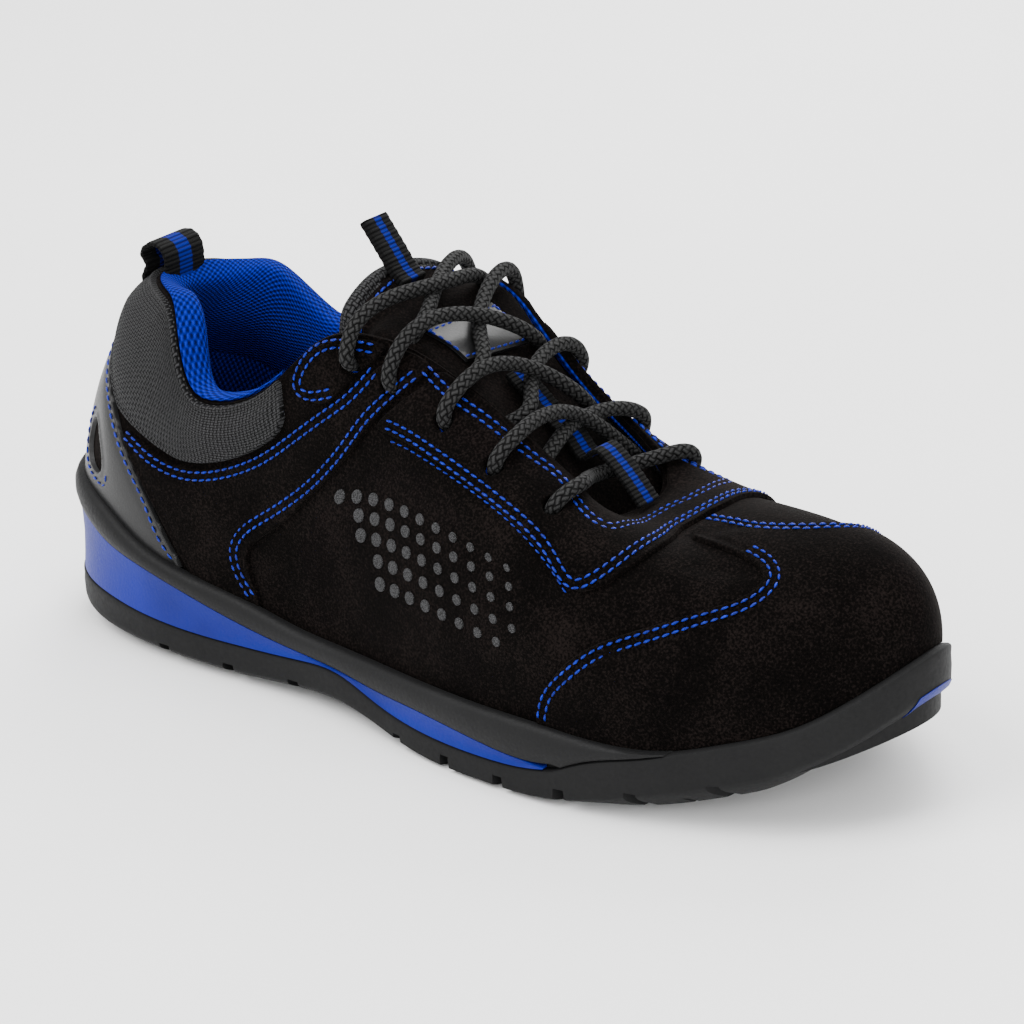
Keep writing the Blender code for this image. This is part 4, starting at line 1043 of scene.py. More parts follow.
def piece(name, points, faces, finishes, nodes=(), picks=None, cloth=None, sharp=SMOOTH_ANGLE):
    """A mesh object in the shoe's own frame that rides on the body and stands for its solids."""
    mesh = bpy.data.meshes.new(name)
    points = np.asarray(points, float) - CENTRE
    tidy, kept = [], []
    for number, face in enumerate(faces):
        face = [int(i) for k, i in enumerate(face) if i != face[k - 1]]
        if len(face) > 2:
            tidy.append(face)
            kept.append(number)
    mesh.from_pydata(points.tolist(), [], tidy)
    for key in finishes:
        mesh.materials.append(finish(key))
    if picks is not None:
        mesh.polygons.foreach_set("material_index", [int(picks[i]) for i in kept])
    if cloth is not None:
        layer = mesh.uv_layers.new(name="cloth")
        corners = np.empty(len(mesh.loops), int)
        mesh.loops.foreach_get("vertex_index", corners)
        layer.data.foreach_set("uv", np.asarray(cloth, float)[corners].ravel())
    shape = bmesh.new()
    shape.from_mesh(mesh)
    bmesh.ops.remove_doubles(shape, verts=shape.verts[:], dist=1e-6)
    bmesh.ops.recalc_face_normals(shape, faces=shape.faces[:])
    shape.to_mesh(mesh)
    shape.free()
    mesh.shade_smooth()
    mesh.set_sharp_from_angle(angle=math.radians(sharp))
    made = bpy.data.objects.new(name, mesh)
    bpy.context.scene.collection.objects.link(made)
    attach(made, "root")
    if nodes:
        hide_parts(*nodes)
    return made


def cloth_map(places):
    """Cloth measures in metres from places on the skin."""
    return np.asarray(places, float) * (AT_LENGTH, UP_LENGTH)


def panel(name, outline, node, key, holes=(), rounds=(), wall=OVERLAY_WALL, puff=0.0):
    """Overlay with a rolled edge, its face and its back joined along the outline."""
    places, depth, cells = panel_cells(outline, holes, rounds)
    within = np.maximum(-depth, 0.0)
    edge = np.sqrt(1 - (1 - np.clip(within / PANEL_ROLL, 0.0, 1.0)) ** 2)
    swell = puff * (1 - np.exp(-np.maximum(within - PUFF_START, 0.0) / PUFF_RUN))
    seam_dip = SEAM_DIP * np.exp(-(((within - SEAM_INSET) / SEAM_WIDTH) ** 2))
    used = sorted({i for cell in cells for i in cell})
    number = {old: new for new, old in enumerate(used)}
    at, up, depth = places[used, 0], places[used, 1], depth[used]
    face = cover(at, up, CLEAR + wall * edge[used] + swell[used] - seam_dip[used] * edge[used])
    back = cover(at, up, np.full(len(used), CLEAR * 0.5))
    count = len(used)
    rim = depth >= -1e-9
    partner = np.where(rim, np.arange(count), np.arange(count) + count)
    faces = [[number[i] for i in cell] for cell in cells]
    runs = {}
    for cell in faces:
        for a, b in zip(cell, cell[1:] + cell[:1]):
            pair = min(a, b), max(a, b)
            runs[pair] = None if pair in runs else (a, b)
    faces += [[int(partner[i]) for i in reversed(f)] for f in faces]
    for run in runs.values():
        if run and not (rim[run[0]] and rim[run[1]]):
            faces.append([run[0], run[1], int(partner[run[1]]), int(partner[run[0]])])
    points = np.concatenate([face, back])
    cloth = np.tile(cloth_map(places[used]), (2, 1))
    points[:count][rim] = back[rim]
    return piece(name, points, faces, [key], [node], cloth=cloth)


def grid_faces(rows, columns, wrap_rows=False, wrap_columns=False):
    """Faces of a grid whose points are numbered row after row."""
    faces = []
    for row in range(rows if wrap_rows else rows - 1):
        here, above = row * columns, (row + 1) % rows * columns
        for column in range(columns if wrap_columns else columns - 1):
            after = (column + 1) % columns
            faces.append((here + column, here + after, above + after, above + column))
    return faces


def dense_rows(grid, rows, columns):
    """The same surface with more points, along smooth curves both ways."""
    grid = np.asarray(grid, float)
    first = resampled(grid.reshape(len(grid), -1), rows).reshape(rows, grid.shape[1], 3)
    return np.stack([resampled(row, columns) for row in first])


def thick_sheet(name, grid, wall, finishes, nodes=(), picks=None, puff=None):
    """Sheet with a face and a back, closed round its rim."""
    rows, columns = grid.shape[:2]
    normal = sheet_normals(grid)
    wall = np.broadcast_to(wall, (rows, columns))[..., None]
    face = grid + (0 if puff is None else normal * puff[..., None])
    back = grid - normal * wall
    points = np.concatenate([face.reshape(-1, 3), back.reshape(-1, 3)])
    faces = grid_faces(rows, columns)
    layer = rows * columns
    faces += [tuple(i + layer for i in reversed(f)) for f in faces]
    number = np.arange(layer).reshape(rows, columns)
    rim = [*number[0], *number[1:, -1], *number[-1, -2::-1], *number[-2:0:-1, 0]]
    faces += [(b, a, a + layer, b + layer) for a, b in zip(rim, rim[1:] + rim[:1])]
    run, side = run_along(grid[:, columns // 2]), run_along(grid[rows // 2])
    cloth = np.tile(np.stack(np.meshgrid(side, run), -1).reshape(-1, 2), (2, 1))
    if picks is not None:
        inner = list(picks.ravel())
        picks = inner + inner + [inner[0]] * len(rim)
    return piece(name, points, faces, finishes, nodes, picks=picks, cloth=cloth, sharp=SHEET_ANGLE)


def ring_solid(name, rings, key, nodes=()):
    """Solid from rings round the sole, closed above and below."""
    count = len(rings[0])
    faces = grid_faces(len(rings), count, wrap_columns=True)
    faces += ladder(0, count) + ladder((len(rings) - 1) * count, count)
    return piece(name, np.concatenate(rings), faces, [key], nodes)


def section_sweep(name, section, key, nodes=(), cloth=None):
    """Solid from a row of closed sections."""
    rows, columns = section.shape[:2]
    faces = grid_faces(rows, columns, wrap_columns=True)
    faces += [tuple(range(columns)), tuple((rows - 1) * columns + i for i in range(columns))]
    return piece(name, section.reshape(-1, 3), faces, [key], nodes, cloth=cloth)


def rope(line):
    """Points, faces and map of the round lace along a line, drawn in at its ends."""
    length = run_along(line)
    along = unit(np.gradient(line, axis=0))
    flat = np.cross(along, (0.3, 0.2, 1.0))
    for k in range(1, len(line)):
        flat[k] = flat[k - 1] - along[k] * (flat[k - 1] @ along[k])
    flat = unit(flat)
    lift = np.cross(flat, along)
    turn = np.arange(LACE_SIDES + 1) * 2 * math.pi / LACE_SIDES
    wide = np.full(len(line), LACE_LOOK)
    wide[[0, -1]] = LACE_LOOK * LACE_TIP
    ring = flat[:, None] * np.cos(turn)[None, :, None] + lift[:, None] * np.sin(turn)[None, :, None]
    points = (line[:, None] + wide[:, None, None] * ring).reshape(-1, 3)
    columns = LACE_SIDES + 1
    faces = grid_faces(len(line), columns)
    faces += [tuple(range(LACE_SIDES)), tuple((len(line) - 1) * columns + i for i in range(LACE_SIDES))]
    cloth = np.stack(np.meshgrid(np.arange(columns) / LACE_SIDES, length), -1).reshape(-1, 2)
    return points, faces, cloth


def joined_piece(name, shapes, key, nodes=()):
    """One piece from several shapes."""
    points, faces, cloth = joined(shapes)
    return piece(name, points, faces, [key], nodes, cloth=cloth)


def joined(shapes):
    """Several shapes as one list of points, faces and map."""
    points, faces, cloth, start = [], [], [], 0
    for some, some_faces, some_cloth in shapes:
        points.append(some)
        cloth.append(some_cloth)
        faces += [tuple(i + start for i in f) for f in some_faces]
        start += len(some)
    return np.concatenate(points), faces, np.concatenate(cloth)


def tape(name, line, width, wall, key, node):
    """Ribbed webbing along a line in the shoe's middle plane, its width across the shoe."""
    length = run_along(line)
    along = unit(np.gradient(line, axis=0))
    thick = np.stack([along[:, 2], np.zeros(len(line)), -along[:, 0]], 1)
    shares, level = np.array(TAPE_SECTION).T
    widths = np.outer(shares * width / 2, (0.0, 1.0, 0.0))
    ribs = TAPE_RIB * np.sin(length * 2 * math.pi / TAPE_RIB_PITCH)
    lift = thick[:, None] * (wall / 2 * level + ribs[:, None])[..., None]
    top, low = line[:, None] + lift + widths, line[:, None] - lift + widths
    section = np.concatenate([top, low[:, ::-1]], 1)
    u = np.concatenate([shares, shares[::-1]]) * width / 2
    cloth = np.stack(np.meshgrid(u, length), -1).reshape(-1, 2)
    return section_sweep(name, section, key, [node], cloth=cloth)


def stitch_shape():
    """One stitch lying along X: a short plump thread that dives at both ends."""
    points = []
    for x, size, z in STITCH_RINGS:
        for k in range(STITCH_SIDES):
            turn = k * 2 * math.pi / STITCH_SIDES
            points.append((x, size * math.cos(turn), z + size * math.sin(turn)))
    last = (len(STITCH_RINGS) - 1) * STITCH_SIDES
    faces = grid_faces(len(STITCH_RINGS), STITCH_SIDES, wrap_columns=True)
    faces += [tuple(range(STITCH_SIDES)), tuple(range(last, last + STITCH_SIDES))]
    return np.array(points), faces


def stitch_row(line, normals, shift=0.0, pitch=STITCH_PITCH, length=STITCH_LENGTH, radius=STITCH_RADIUS):
    """Stitches at an even pitch along a line, moved sideways over the surface."""
    along = unit(np.gradient(line, axis=0))
    path = line + unit(np.cross(normals, along)) * shift
    run = run_along(path)
    shape, faces = stitch_shape()
    shapes = []
    for place in np.arange(pitch / 2, run[-1] - pitch / 3, pitch):
        centre, x, n = (
            np.array([np.interp(place, run, values[:, i]) for i in range(3)])
            for values in (path, along, normals)
        )
        x = unit(x + np.cross(n, x) * STITCH_SKEW)
        n = unit(n)
        y = np.cross(n, x)
        body = centre + shape[:, :1] * x * length + shape[:, 1:2] * y * radius + shape[:, 2:] * n * radius
        shapes.append((body, faces, np.zeros((len(body), 2))))
    return shapes


def seam_on_skin(points, lift, shifts=(0.0,), **sizes):
    """Rows of stitches along a line given on the skin."""
    points = np.array(points, float)
    run = run_along(cloth_map(points))
    places = open_spline(run, points)(np.arange(0.0, run[-1], SEAM_STEP))
    at, up = places[:, 0], np.clip(places[:, 1], 0.0, SEAM_TOP)
    line, normals = cover(at, up, np.full(len(at), lift)), upper_normal(at, up)
    return [shape for shift in shifts for shape in stitch_row(line, normals, shift, **sizes)]


# Sole

SOLE_AT = np.concatenate([
    np.linspace(start, end, SOLE_SIDE, endpoint=False) for start, end in ((0.0, HEEL), (HEEL, ROUND))
])
SOLE_X = plan(SOLE_AT)[:, 0]
SOLE = {name: sole_height(SOLE_X, name) for name in HEIGHT_NAMES}
RIM_START = 0.708 * LENGTH
RIM_END = 0.825 * LENGTH
INNER_STEP = BUMPER_WALL + CLEAR
TOE_TURN = 0.90 * LENGTH

# Lug channels and sipes across the tread, as shares of LENGTH
HEEL_CHANNELS = (0.075, 0.16, 0.245, 0.33)
BALL_CHANNELS = (0.47, 0.54, 0.61, 0.68, 0.75, 0.82, 0.89)
HEEL_SIPES = (0.118, 0.203, 0.288)
BALL_SIPES = (0.505, 0.575, 0.645, 0.715, 0.785, 0.855)
SIPE_GAP = 0.0014
SIPE_DEPTH = 0.0013
HEEL_LEAN = 0.012
BALL_LEAN = -0.012
SIPE_LEAN = 0.010

# Lower bevel of the sole, and what the toe adds to it
BEVEL_SHARES = (0.0, 0.25, 0.5, 0.75, 0.92, 1.0)
BEVEL_RISE = 0.0010
TOE_BEVEL_RISE = 0.0045
TOE_BEVEL = 0.0085

# Coloured insert in the toe's bevel: its ends as places on the outline, its levels, and its face and back
INSERT_FROM = -1.341
INSERT_TO = 0.771
INSERT_TAPER = 0.42
INSERT_SHARES = (0.12, 0.35, 0.6, 0.85, 1.0)
INSERT_FACE = 0.00025
INSERT_BACK = -0.0016


def mix(x, start, end):
    """Straight share from 0 to 1 between two distances from the heel."""
    return np.clip((x - start) / (end - start), 0.0, 1.0)


RISE = mix(SOLE_X, RIM_START, RIM_END)
BUMPER_TOP = SOLE["low"] * (1 - RISE) + (SOLE["lip"] - 0.0002) * RISE
BASE_TOP = np.minimum((SOLE["floor"] + SOLE["bed"]) / 2, SOLE["low"] - 0.0012)


def channel(share, wide, depth, lean, flare=1.0, climb=0.0):
    """Cutter of one chevron channel across the tread, which widens and climbs at the sole's edge."""
    x = share * LENGTH
    top = float(sole_height(x, "floor")) + depth
    rows = (
        # y      shift grow  more
        (-0.060, 1.0, flare, climb),
        (-0.030, 0.5, 1.0, 0.0),
        (0.001, 0.0, 1.0, 0.0),
        (0.030, 0.5, 1.0, 0.0),
        (0.060, 1.0, flare, climb),
    )
    points = []
    for y, shift, grow, more in rows:
        for dx, z in ((-1.25, -0.01), (1.25, -0.01), (0.70, top + more), (-0.70, top + more)):
            points.append((x + shift * lean + dx * wide * grow / 2, y, z))
    faces = grid_faces(5, 4, wrap_columns=True) + [(0, 1, 2, 3), (16, 17, 18, 19)]
    return np.array(points), faces, np.zeros((len(points), 2))


def cutter_mesh(shapes):
    """An object that only cuts."""
    points, faces, _ = joined(shapes)
    mesh = bpy.data.meshes.new("cutter")
    mesh.from_pydata((points - CENTRE).tolist(), [], faces)
    shape = bmesh.new()
    shape.from_mesh(mesh)
    bmesh.ops.recalc_face_normals(shape, faces=shape.faces[:])
    shape.to_mesh(mesh)
    shape.free()
    made = bpy.data.objects.new("cutter", mesh)
    bpy.context.scene.collection.objects.link(made)
    return made


def cut(part, cutter):
    """Takes a cutter out of a piece with the exact solver, then removes it."""
    bpy.ops.object.select_all(action="DESELECT")
    step = part.modifiers.new("cut", "BOOLEAN")
    step.operation = "DIFFERENCE"
    step.solver = "EXACT"
    step.object = cutter
    bpy.context.view_layer.objects.active = part
    bpy.ops.object.modifier_apply(modifier=step.name)
    bpy.data.objects.remove(cutter)


def bevel_ring(at, share, out=0.0):
    """Ring on the sole's lower bevel, from the ground face (0) to the wall (1); it is longer at the toe."""
    x = plan(at)[:, 0]
    toe = mix(x, TOE_TURN, LENGTH)
    floor = sole_height(x, "floor")
    edge = np.maximum(sole_height(x, "edge") + BEVEL_RISE + TOE_BEVEL_RISE * toe, floor + 0.0004)
    inset = (SOLE_BEVEL + TOE_BEVEL * toe) * (1 - share) ** 1.5
    sag = (0.12 + 0.10 * toe) * math.sin(math.pi * share) * (0.5 - share)
    return ring(at, inset - out, floor + (edge - floor) * (share + sag))


def make_outsole():
    """Ground layer: rounded foot edge, smooth wall, bumper round the toe, lugs and sipes."""
    rings = [bevel_ring(SOLE_AT, share) for share in BEVEL_SHARES]
    foot = rings[-1][:, 2]
    wall_top = np.maximum(BUMPER_TOP - 0.0012, foot + 0.0002)
    for share, out in ((0.12, 0.0), (0.45, -0.0001), (0.8, 0.0001)):
        rings.append(ring(SOLE_AT, out, foot * (1 - share) + wall_top * share))
    rings += [
        ring(SOLE_AT, 0.0, np.maximum(BUMPER_TOP - 0.0010, foot + 0.0003)),
        ring(SOLE_AT, 0.00025, np.maximum(BUMPER_TOP - 0.0004, foot + 0.0005)),
        ring(SOLE_AT, 0.0009, BUMPER_TOP),
        ring(SOLE_AT, BUMPER_WALL, BUMPER_TOP),
        ring(SOLE_AT, BUMPER_WALL, BASE_TOP),
    ]
    sole = ring_solid("outsole_tread", rings, "tread", ["outsole"])
    cutters = [channel(s, LUG_GAP, LUG_DEPTH, HEEL_LEAN, flare=1.9, climb=0.0062) for s in HEEL_CHANNELS]
    cutters += [
        channel(s, LUG_GAP * 0.85, LUG_DEPTH, BALL_LEAN, flare=1.3, climb=0.0012) for s in BALL_CHANNELS
    ]
    cut(sole, cutter_mesh(cutters))
    sipes = [channel(s, SIPE_GAP, SIPE_DEPTH, SIPE_LEAN) for s in HEEL_SIPES]
    sipes += [channel(s, SIPE_GAP, SIPE_DEPTH, -SIPE_LEAN) for s in BALL_SIPES]
    cut(sole, cutter_mesh(sipes))
    sole.data.shade_smooth()
    sole.data.set_sharp_from_angle(angle=math.radians(SOLE_ANGLE))
    return sole


def make_toe_insert():
    """Coloured insert let into the bevel under the toe, wider at its foot."""
    at = np.linspace(INSERT_FROM, INSERT_TO, 90)
    reach = np.clip(np.minimum(at - INSERT_FROM, INSERT_TO - at) / INSERT_TAPER, 0.02, 1.0)
    foot = INSERT_SHARES[0]
    sides = []
    for out in (INSERT_FACE, INSERT_BACK):
        side = []
        for share in INSERT_SHARES:
            levels = foot + (share - foot) * reach
            spots = [bevel_ring(at[k:k + 1], level, out) for k, level in enumerate(levels)]
            side.append(np.concatenate(spots))
        sides.append(side)
    section = np.stack(sides[0] + sides[1][::-1], 1)
    return section_sweep("toe_insert_foam", section, "band_foam", ["toe_insert"])


def make_midsole():
    """Cup with the padded rim that overhangs the band."""
    step_out = np.where(SOLE_X < RIM_START, SOLE["high"], BUMPER_TOP + CLEAR)
    step_out = np.where(RISE >= 1.0, SOLE["lip"] - 0.0030, step_out)
    inset = np.where(RISE >= 1.0, INNER_STEP, 0.0)
    step_top = step_out + np.where(RISE >= 1.0, 0.0010, 0.0)
    step_out = np.minimum(step_out, SOLE["lip"] - 0.0012)
    step_top = np.minimum(step_top, SOLE["lip"] - 0.0006)
    lip = SOLE["lip"]
    high = lip - step_top
    swell = np.where(RISE >= 1.0, 0.0, 0.0007) * np.clip(high / 0.006, 0.0, 1.0)
    rings = [ring(SOLE_AT, INNER_STEP, BASE_TOP + CLEAR), ring(SOLE_AT, INNER_STEP, step_out)]
    for share, out in ((0.0, 0.5), (0.10, -0.3), (0.35, -1.0), (0.65, -0.9), (0.85, 0.0)):
        rings.append(ring(SOLE_AT, inset + swell * out, step_top + high * share))
    rings += [
        ring(SOLE_AT, inset + 0.0006, lip - high * 0.04),
        ring(SOLE_AT, inset + 0.0016, lip + 0.0001),
        ring(SOLE_AT, LIP_WALL - 0.0006, lip),
        ring(SOLE_AT, LIP_WALL, lip - 0.0006),
        ring(SOLE_AT, LIP_WALL, SOLE["bed"]),
    ]
    return ring_solid("midsole_cup", rings, "compound", ["midsole"])


def make_band():
    """Blue band, slightly hollow between the tread layer and the rim."""
    keep = [i for i in range(len(SOLE_AT)) if SOLE_X[i] < RIM_START - 0.001]
    at = SOLE_AT[keep]
    low = BUMPER_TOP[keep] + CLEAR
    high = np.minimum(SOLE["high"], SOLE["lip"] - 0.0012)[keep] - CLEAR
    taper = np.clip((RIM_START - plan(at)[:, 0]) / 0.010, 0.04, 1.0) ** 0.7
    high = low + np.maximum(high - low, 0.0006) * taper
    rows = [ring(at, BUMPER_WALL, low), ring(at, 0.0004, low)]
    for share, inset in ((0.2, 0.0007), (0.5, 0.0010), (0.8, 0.0008)):
        rows.append(ring(at, inset, low * (1 - share) + high * share))
    rows += [ring(at, 0.0005, high), ring(at, BUMPER_WALL, high)]
    return section_sweep("midsole_band_foam", np.stack(rows, 1), "band_foam", ["midsole_band"])


def make_insole():
    """Cloth-covered footbed with a soft edge."""
    inset = LIP_WALL + 2 * CLEAR + UPPER_WALL + 0.0004
    low = SOLE["bed"] + CLEAR
    rings = [
        ring(SOLE_AT, inset, low),
        ring(SOLE_AT, inset, low + INSOLE_WALL * 0.7),
        ring(SOLE_AT, inset + 0.0010, low + INSOLE_WALL),
    ]
    for share in (0.2, 0.45, 0.7):
        middle = ring(SOLE_AT, inset + 0.0010, low + INSOLE_WALL)
        spine = middle.copy()
        spine[:, 1] = spine[:, 1].mean()
        rings.append(middle * (1 - share) + spine * share)
    points = np.concatenate(rings)
    count = len(SOLE_AT)
    faces = grid_faces(len(rings), count, wrap_columns=True)
    faces += ladder(0, count) + ladder((len(rings) - 1) * count, count)
    cloth = points[:, :2]
    return piece("insole_bed", points, faces, ["wing_cloth"], ["insole"], cloth=cloth)


# Upper


def make_upper():
    """Hollow suede shell with its cloth lining and a rolled edge round the opening."""
    ats = np.arange(0.0, ROUND - 1e-6, AT_STEP * 0.98)
    ups = np.linspace(0.0, 1.0, 58)
    count = len(ats)
    foot = sole_height(plan(ats)[:, 0], "bed") + CLEAR
    rows = [ring(ats, LIP_WALL + CLEAR, foot)]
    rows += [cover(ats, np.full(count, up), np.zeros(count)) for up in ups]
    for share in (0.25, 0.75):
        rows.append(cover(ats, np.full(count, 1.004), np.full(count, -UPPER_WALL * share)))
    outer = len(rows) - 1
    rows += [cover(ats, np.full(count, up), np.full(count, -UPPER_WALL)) for up in ups[::-1]]
    rows.append(ring(ats, LIP_WALL + CLEAR + UPPER_WALL, foot))
    faces = grid_faces(len(rows), count, wrap_rows=True, wrap_columns=True)
    picks = [0 if f // count < outer else 1 for f in range(len(faces))]
    levels = [0.0] + list(ups) + [1.0, 1.0] + list(ups[::-1]) + [0.0]
    cloth = np.concatenate([cloth_map(np.stack([ats, np.full(count, level)], 1)) for level in levels])
    shell = piece(
        "upper_shell", np.concatenate(rows), faces, ["suede", "spacer_mesh"], ["upper"],
        picks, cloth,
    )
    cut(shell, cutter_mesh([punch(at, up) for at, up in (*EYELETS, *across(EYELETS))]))
    return shell


def punch(at, up):
    """Cutter of one eyelet: a short rod through the skin."""
    spot = skin_spot(at, up)
    normal = upper_normal(np.array([at]), np.array([up]))[0]
    side = unit(np.cross(normal, (1.0, 0.0, 0.0)))
    other = np.cross(normal, side)
    turns = [k * 2 * math.pi / HOLE_SIDES for k in range(HOLE_SIDES)]
    circle = [math.cos(turn) * side * HOLE + math.sin(turn) * other * HOLE for turn in turns]
    points = [spot + normal * reach + p for reach in (PUNCH_REACH, -PUNCH_REACH) for p in circle]
    faces = grid_faces(2, HOLE_SIDES, wrap_columns=True)
    faces += [tuple(range(HOLE_SIDES)), tuple(range(2 * HOLE_SIDES - 1, HOLE_SIDES - 1, -1))]
    return np.array(points), faces, np.zeros((len(points), 2))


def to_sole(outline):
    """The outline with its foot carried down behind the sole's lip."""
    return [(at, -0.03 if up < 0.02 else up) for at, up in outline]


def make_panels():
    """Toe overlay, eyestay, tips, quarters and heel counter."""
    inner_edge = [(at, 0.988) for at in np.arange(4.9, -4.3, -0.4)]
    ends = list(EYESTAY_END)
    stay = list(EYESTAY_OUTER)[::-1] + ends + inner_edge + [(-0.9 * at, up) for at, up in ends][::-1]
    panel("toe_panel", to_sole(TOE_EDGE), "toe_overlay", "suede", puff=0.0004)
    panel("eyestay_panel", stay, "eyestay", "suede",
          rounds=list(EYELETS[2:]) + across(EYELETS[2:]), puff=0.0003)
    for side, turn in (("outer", list), ("inner", across)):
        panel("eyestay_tip_%s_panel" % side, turn(EYESTAY_TIP), "eyestay_tip_" + side, "suede",
              rounds=turn(EYELETS[:1]), puff=0.0003)
        panel("quarter_%s_panel" % side, turn(to_sole(QUARTER)), "quarter_" + side, "suede",
              rounds=turn(EYELETS[1:2]), puff=0.0004)
    top = [(9.7, 0.612), (10.0, 0.614), (10.3, 0.612)]
    foot = [(at, -0.03) for at in np.arange(11.9, 7.7, -0.4)]
    edge = to_sole(COUNTER)
    counter = edge + top + across(edge)[::-1] + foot
    panel("heel_counter_panel", counter, "heel_counter", "trim",
          holes=[COUNTER_HOLE, across(COUNTER_HOLE)], puff=0.0003)


def make_collar():
    """Padded outer collar in basket weave and the padded roll of mesh inside it."""
    lower = list(COLLAR_LOWER)
    rear = [(9.7, 0.636), (10.0, 0.638), (10.3, 0.636)]
    rim = [(at, 0.992) for at in np.arange(12.9, 6.6, -0.35)]
    outline = lower + rear + across(lower)[::-1] + [(13.15, 0.992)] + rim + [(6.50, 0.992)]
    panel("collar_cloth", outline, "collar_panel", "cordura", wall=COLLAR_WALL, puff=0.0022)
    at = np.linspace(ROLL_FROM, ROLL_TO, 150)
    back = -(UPPER_WALL + CLEAR + 0.0002)
    shape = np.array((
        # against the upper's inner face, up to its edge
        (0.46, back), (0.60, back), (0.78, back), (0.94, back), (0.998, back), (1.009, back + 0.0012),
        # over the edge
        (1.020, -0.0003), (1.033, -0.0012), (1.037, back - 0.0010), (1.034, back - 0.0034),
        # down the padded inside
        (1.018, back - 0.0052), (0.97, back - 0.0064), (0.88, back - 0.0068),
        (0.76, back - 0.0062), (0.62, back - 0.0038), (0.50, back - 0.0012),
    ))
    count = len(shape)
    turn = periodic_spline(np.arange(count), shape, float(count))(np.linspace(0, count, 57)[:-1])
    ends = np.clip(np.minimum(at - ROLL_FROM, ROLL_TO - at) / ROLL_TAPER, 0.05, 1.0) ** 0.5
    section = np.stack([cover(at, np.full(len(at), up), back + (off - back) * ends) for up, off in turn], 1)
    run = run_along(turn * (UP_LENGTH, 1.0))
    cloth = np.stack(np.meshgrid(run, at * AT_LENGTH), -1).reshape(-1, 2)
    roll = section_sweep("collar_roll", section, "spacer_mesh", ["collar_lining"], cloth=cloth)


# Tongue

WING_UPS = (0.80, 0.90, 0.985)
WING_DROP = (0.0032, 0.0026, 0.0012)
MIDDLE_DROP = (0.0, 0.0, 0.0, 0.0, 0.0004, 0.0009, 0.0016, 0.0024, 0.0032)
END_DROP = 0.0040
END_SHARES = (-0.80, -0.76, -0.67, -0.36, 0.0, 0.45, 0.84, 0.95, 1.0)
END_FALLS = (2.6, 1.7, 1.0, 0.25, 0.0, 0.25, 1.0, 1.7, 2.6)
TONGUE_ROWS = 120
TONGUE_COLUMNS = 81

# Seam where the cloth rim of the free end starts, as shares along and across the tongue
CLOTH_FROM = 0.905
CLOTH_FALL = 0.055
CLOTH_BEND = 2.2
CLOTH_SEAM = 0.018


def tongue_rows(wing_drop):
    """Rows of points over the tongue, each from the outer wing to the inner wing, from the toe up."""
    rows = []
    for (out, inn, crown, _, under), low in zip(TONGUE_RUNGS, MIDDLE_DROP):
        drop = -(UPPER_WALL + under) - np.array(wing_drop)
        outer, inner = (skin(np.full(3, at), np.array(WING_UPS), drop) for at in (out, inn))
        middle = []
        for share in (0.25, 0.5, 0.75):
            point = outer[2] * (1 - share) + inner[2] * share
            middle.append(point + (0.0, 0.0, 4 * share * (1 - share) * (crown - low)))
        rows.append([*outer, *middle, *inner[::-1]])
    drop = -(UPPER_WALL + TONGUE_RUNGS[0][4])
    rows[0][3:6] = skin(np.array([0.5, 0.0, 18.5]), np.full(3, WING_UPS[2]), np.full(3, drop))
    for x, z, half, drop, _ in TONGUE_END:
        rows.append([np.array([x, s * half, z - END_DROP - drop * f]) for s, f in zip(END_SHARES, END_FALLS)])
    return rows


REST = np.array(tongue_rows((0.0, 0.0, 0.0)))


def tongue_top(x, y=0.0):
    """Height of the tongue's face over a spot near its middle."""
    share = np.interp(y, [-0.022, 0.022], [2.0, 6.0])
    column = int(min(max(math.floor(share), 2), 5))
    part = share - column
    line_points = REST[:, column] * (1 - part) + REST[:, column + 1] * part
    order = np.argsort(line_points[:, 0])
    return float(np.interp(x, line_points[order, 0], line_points[order, 2]))


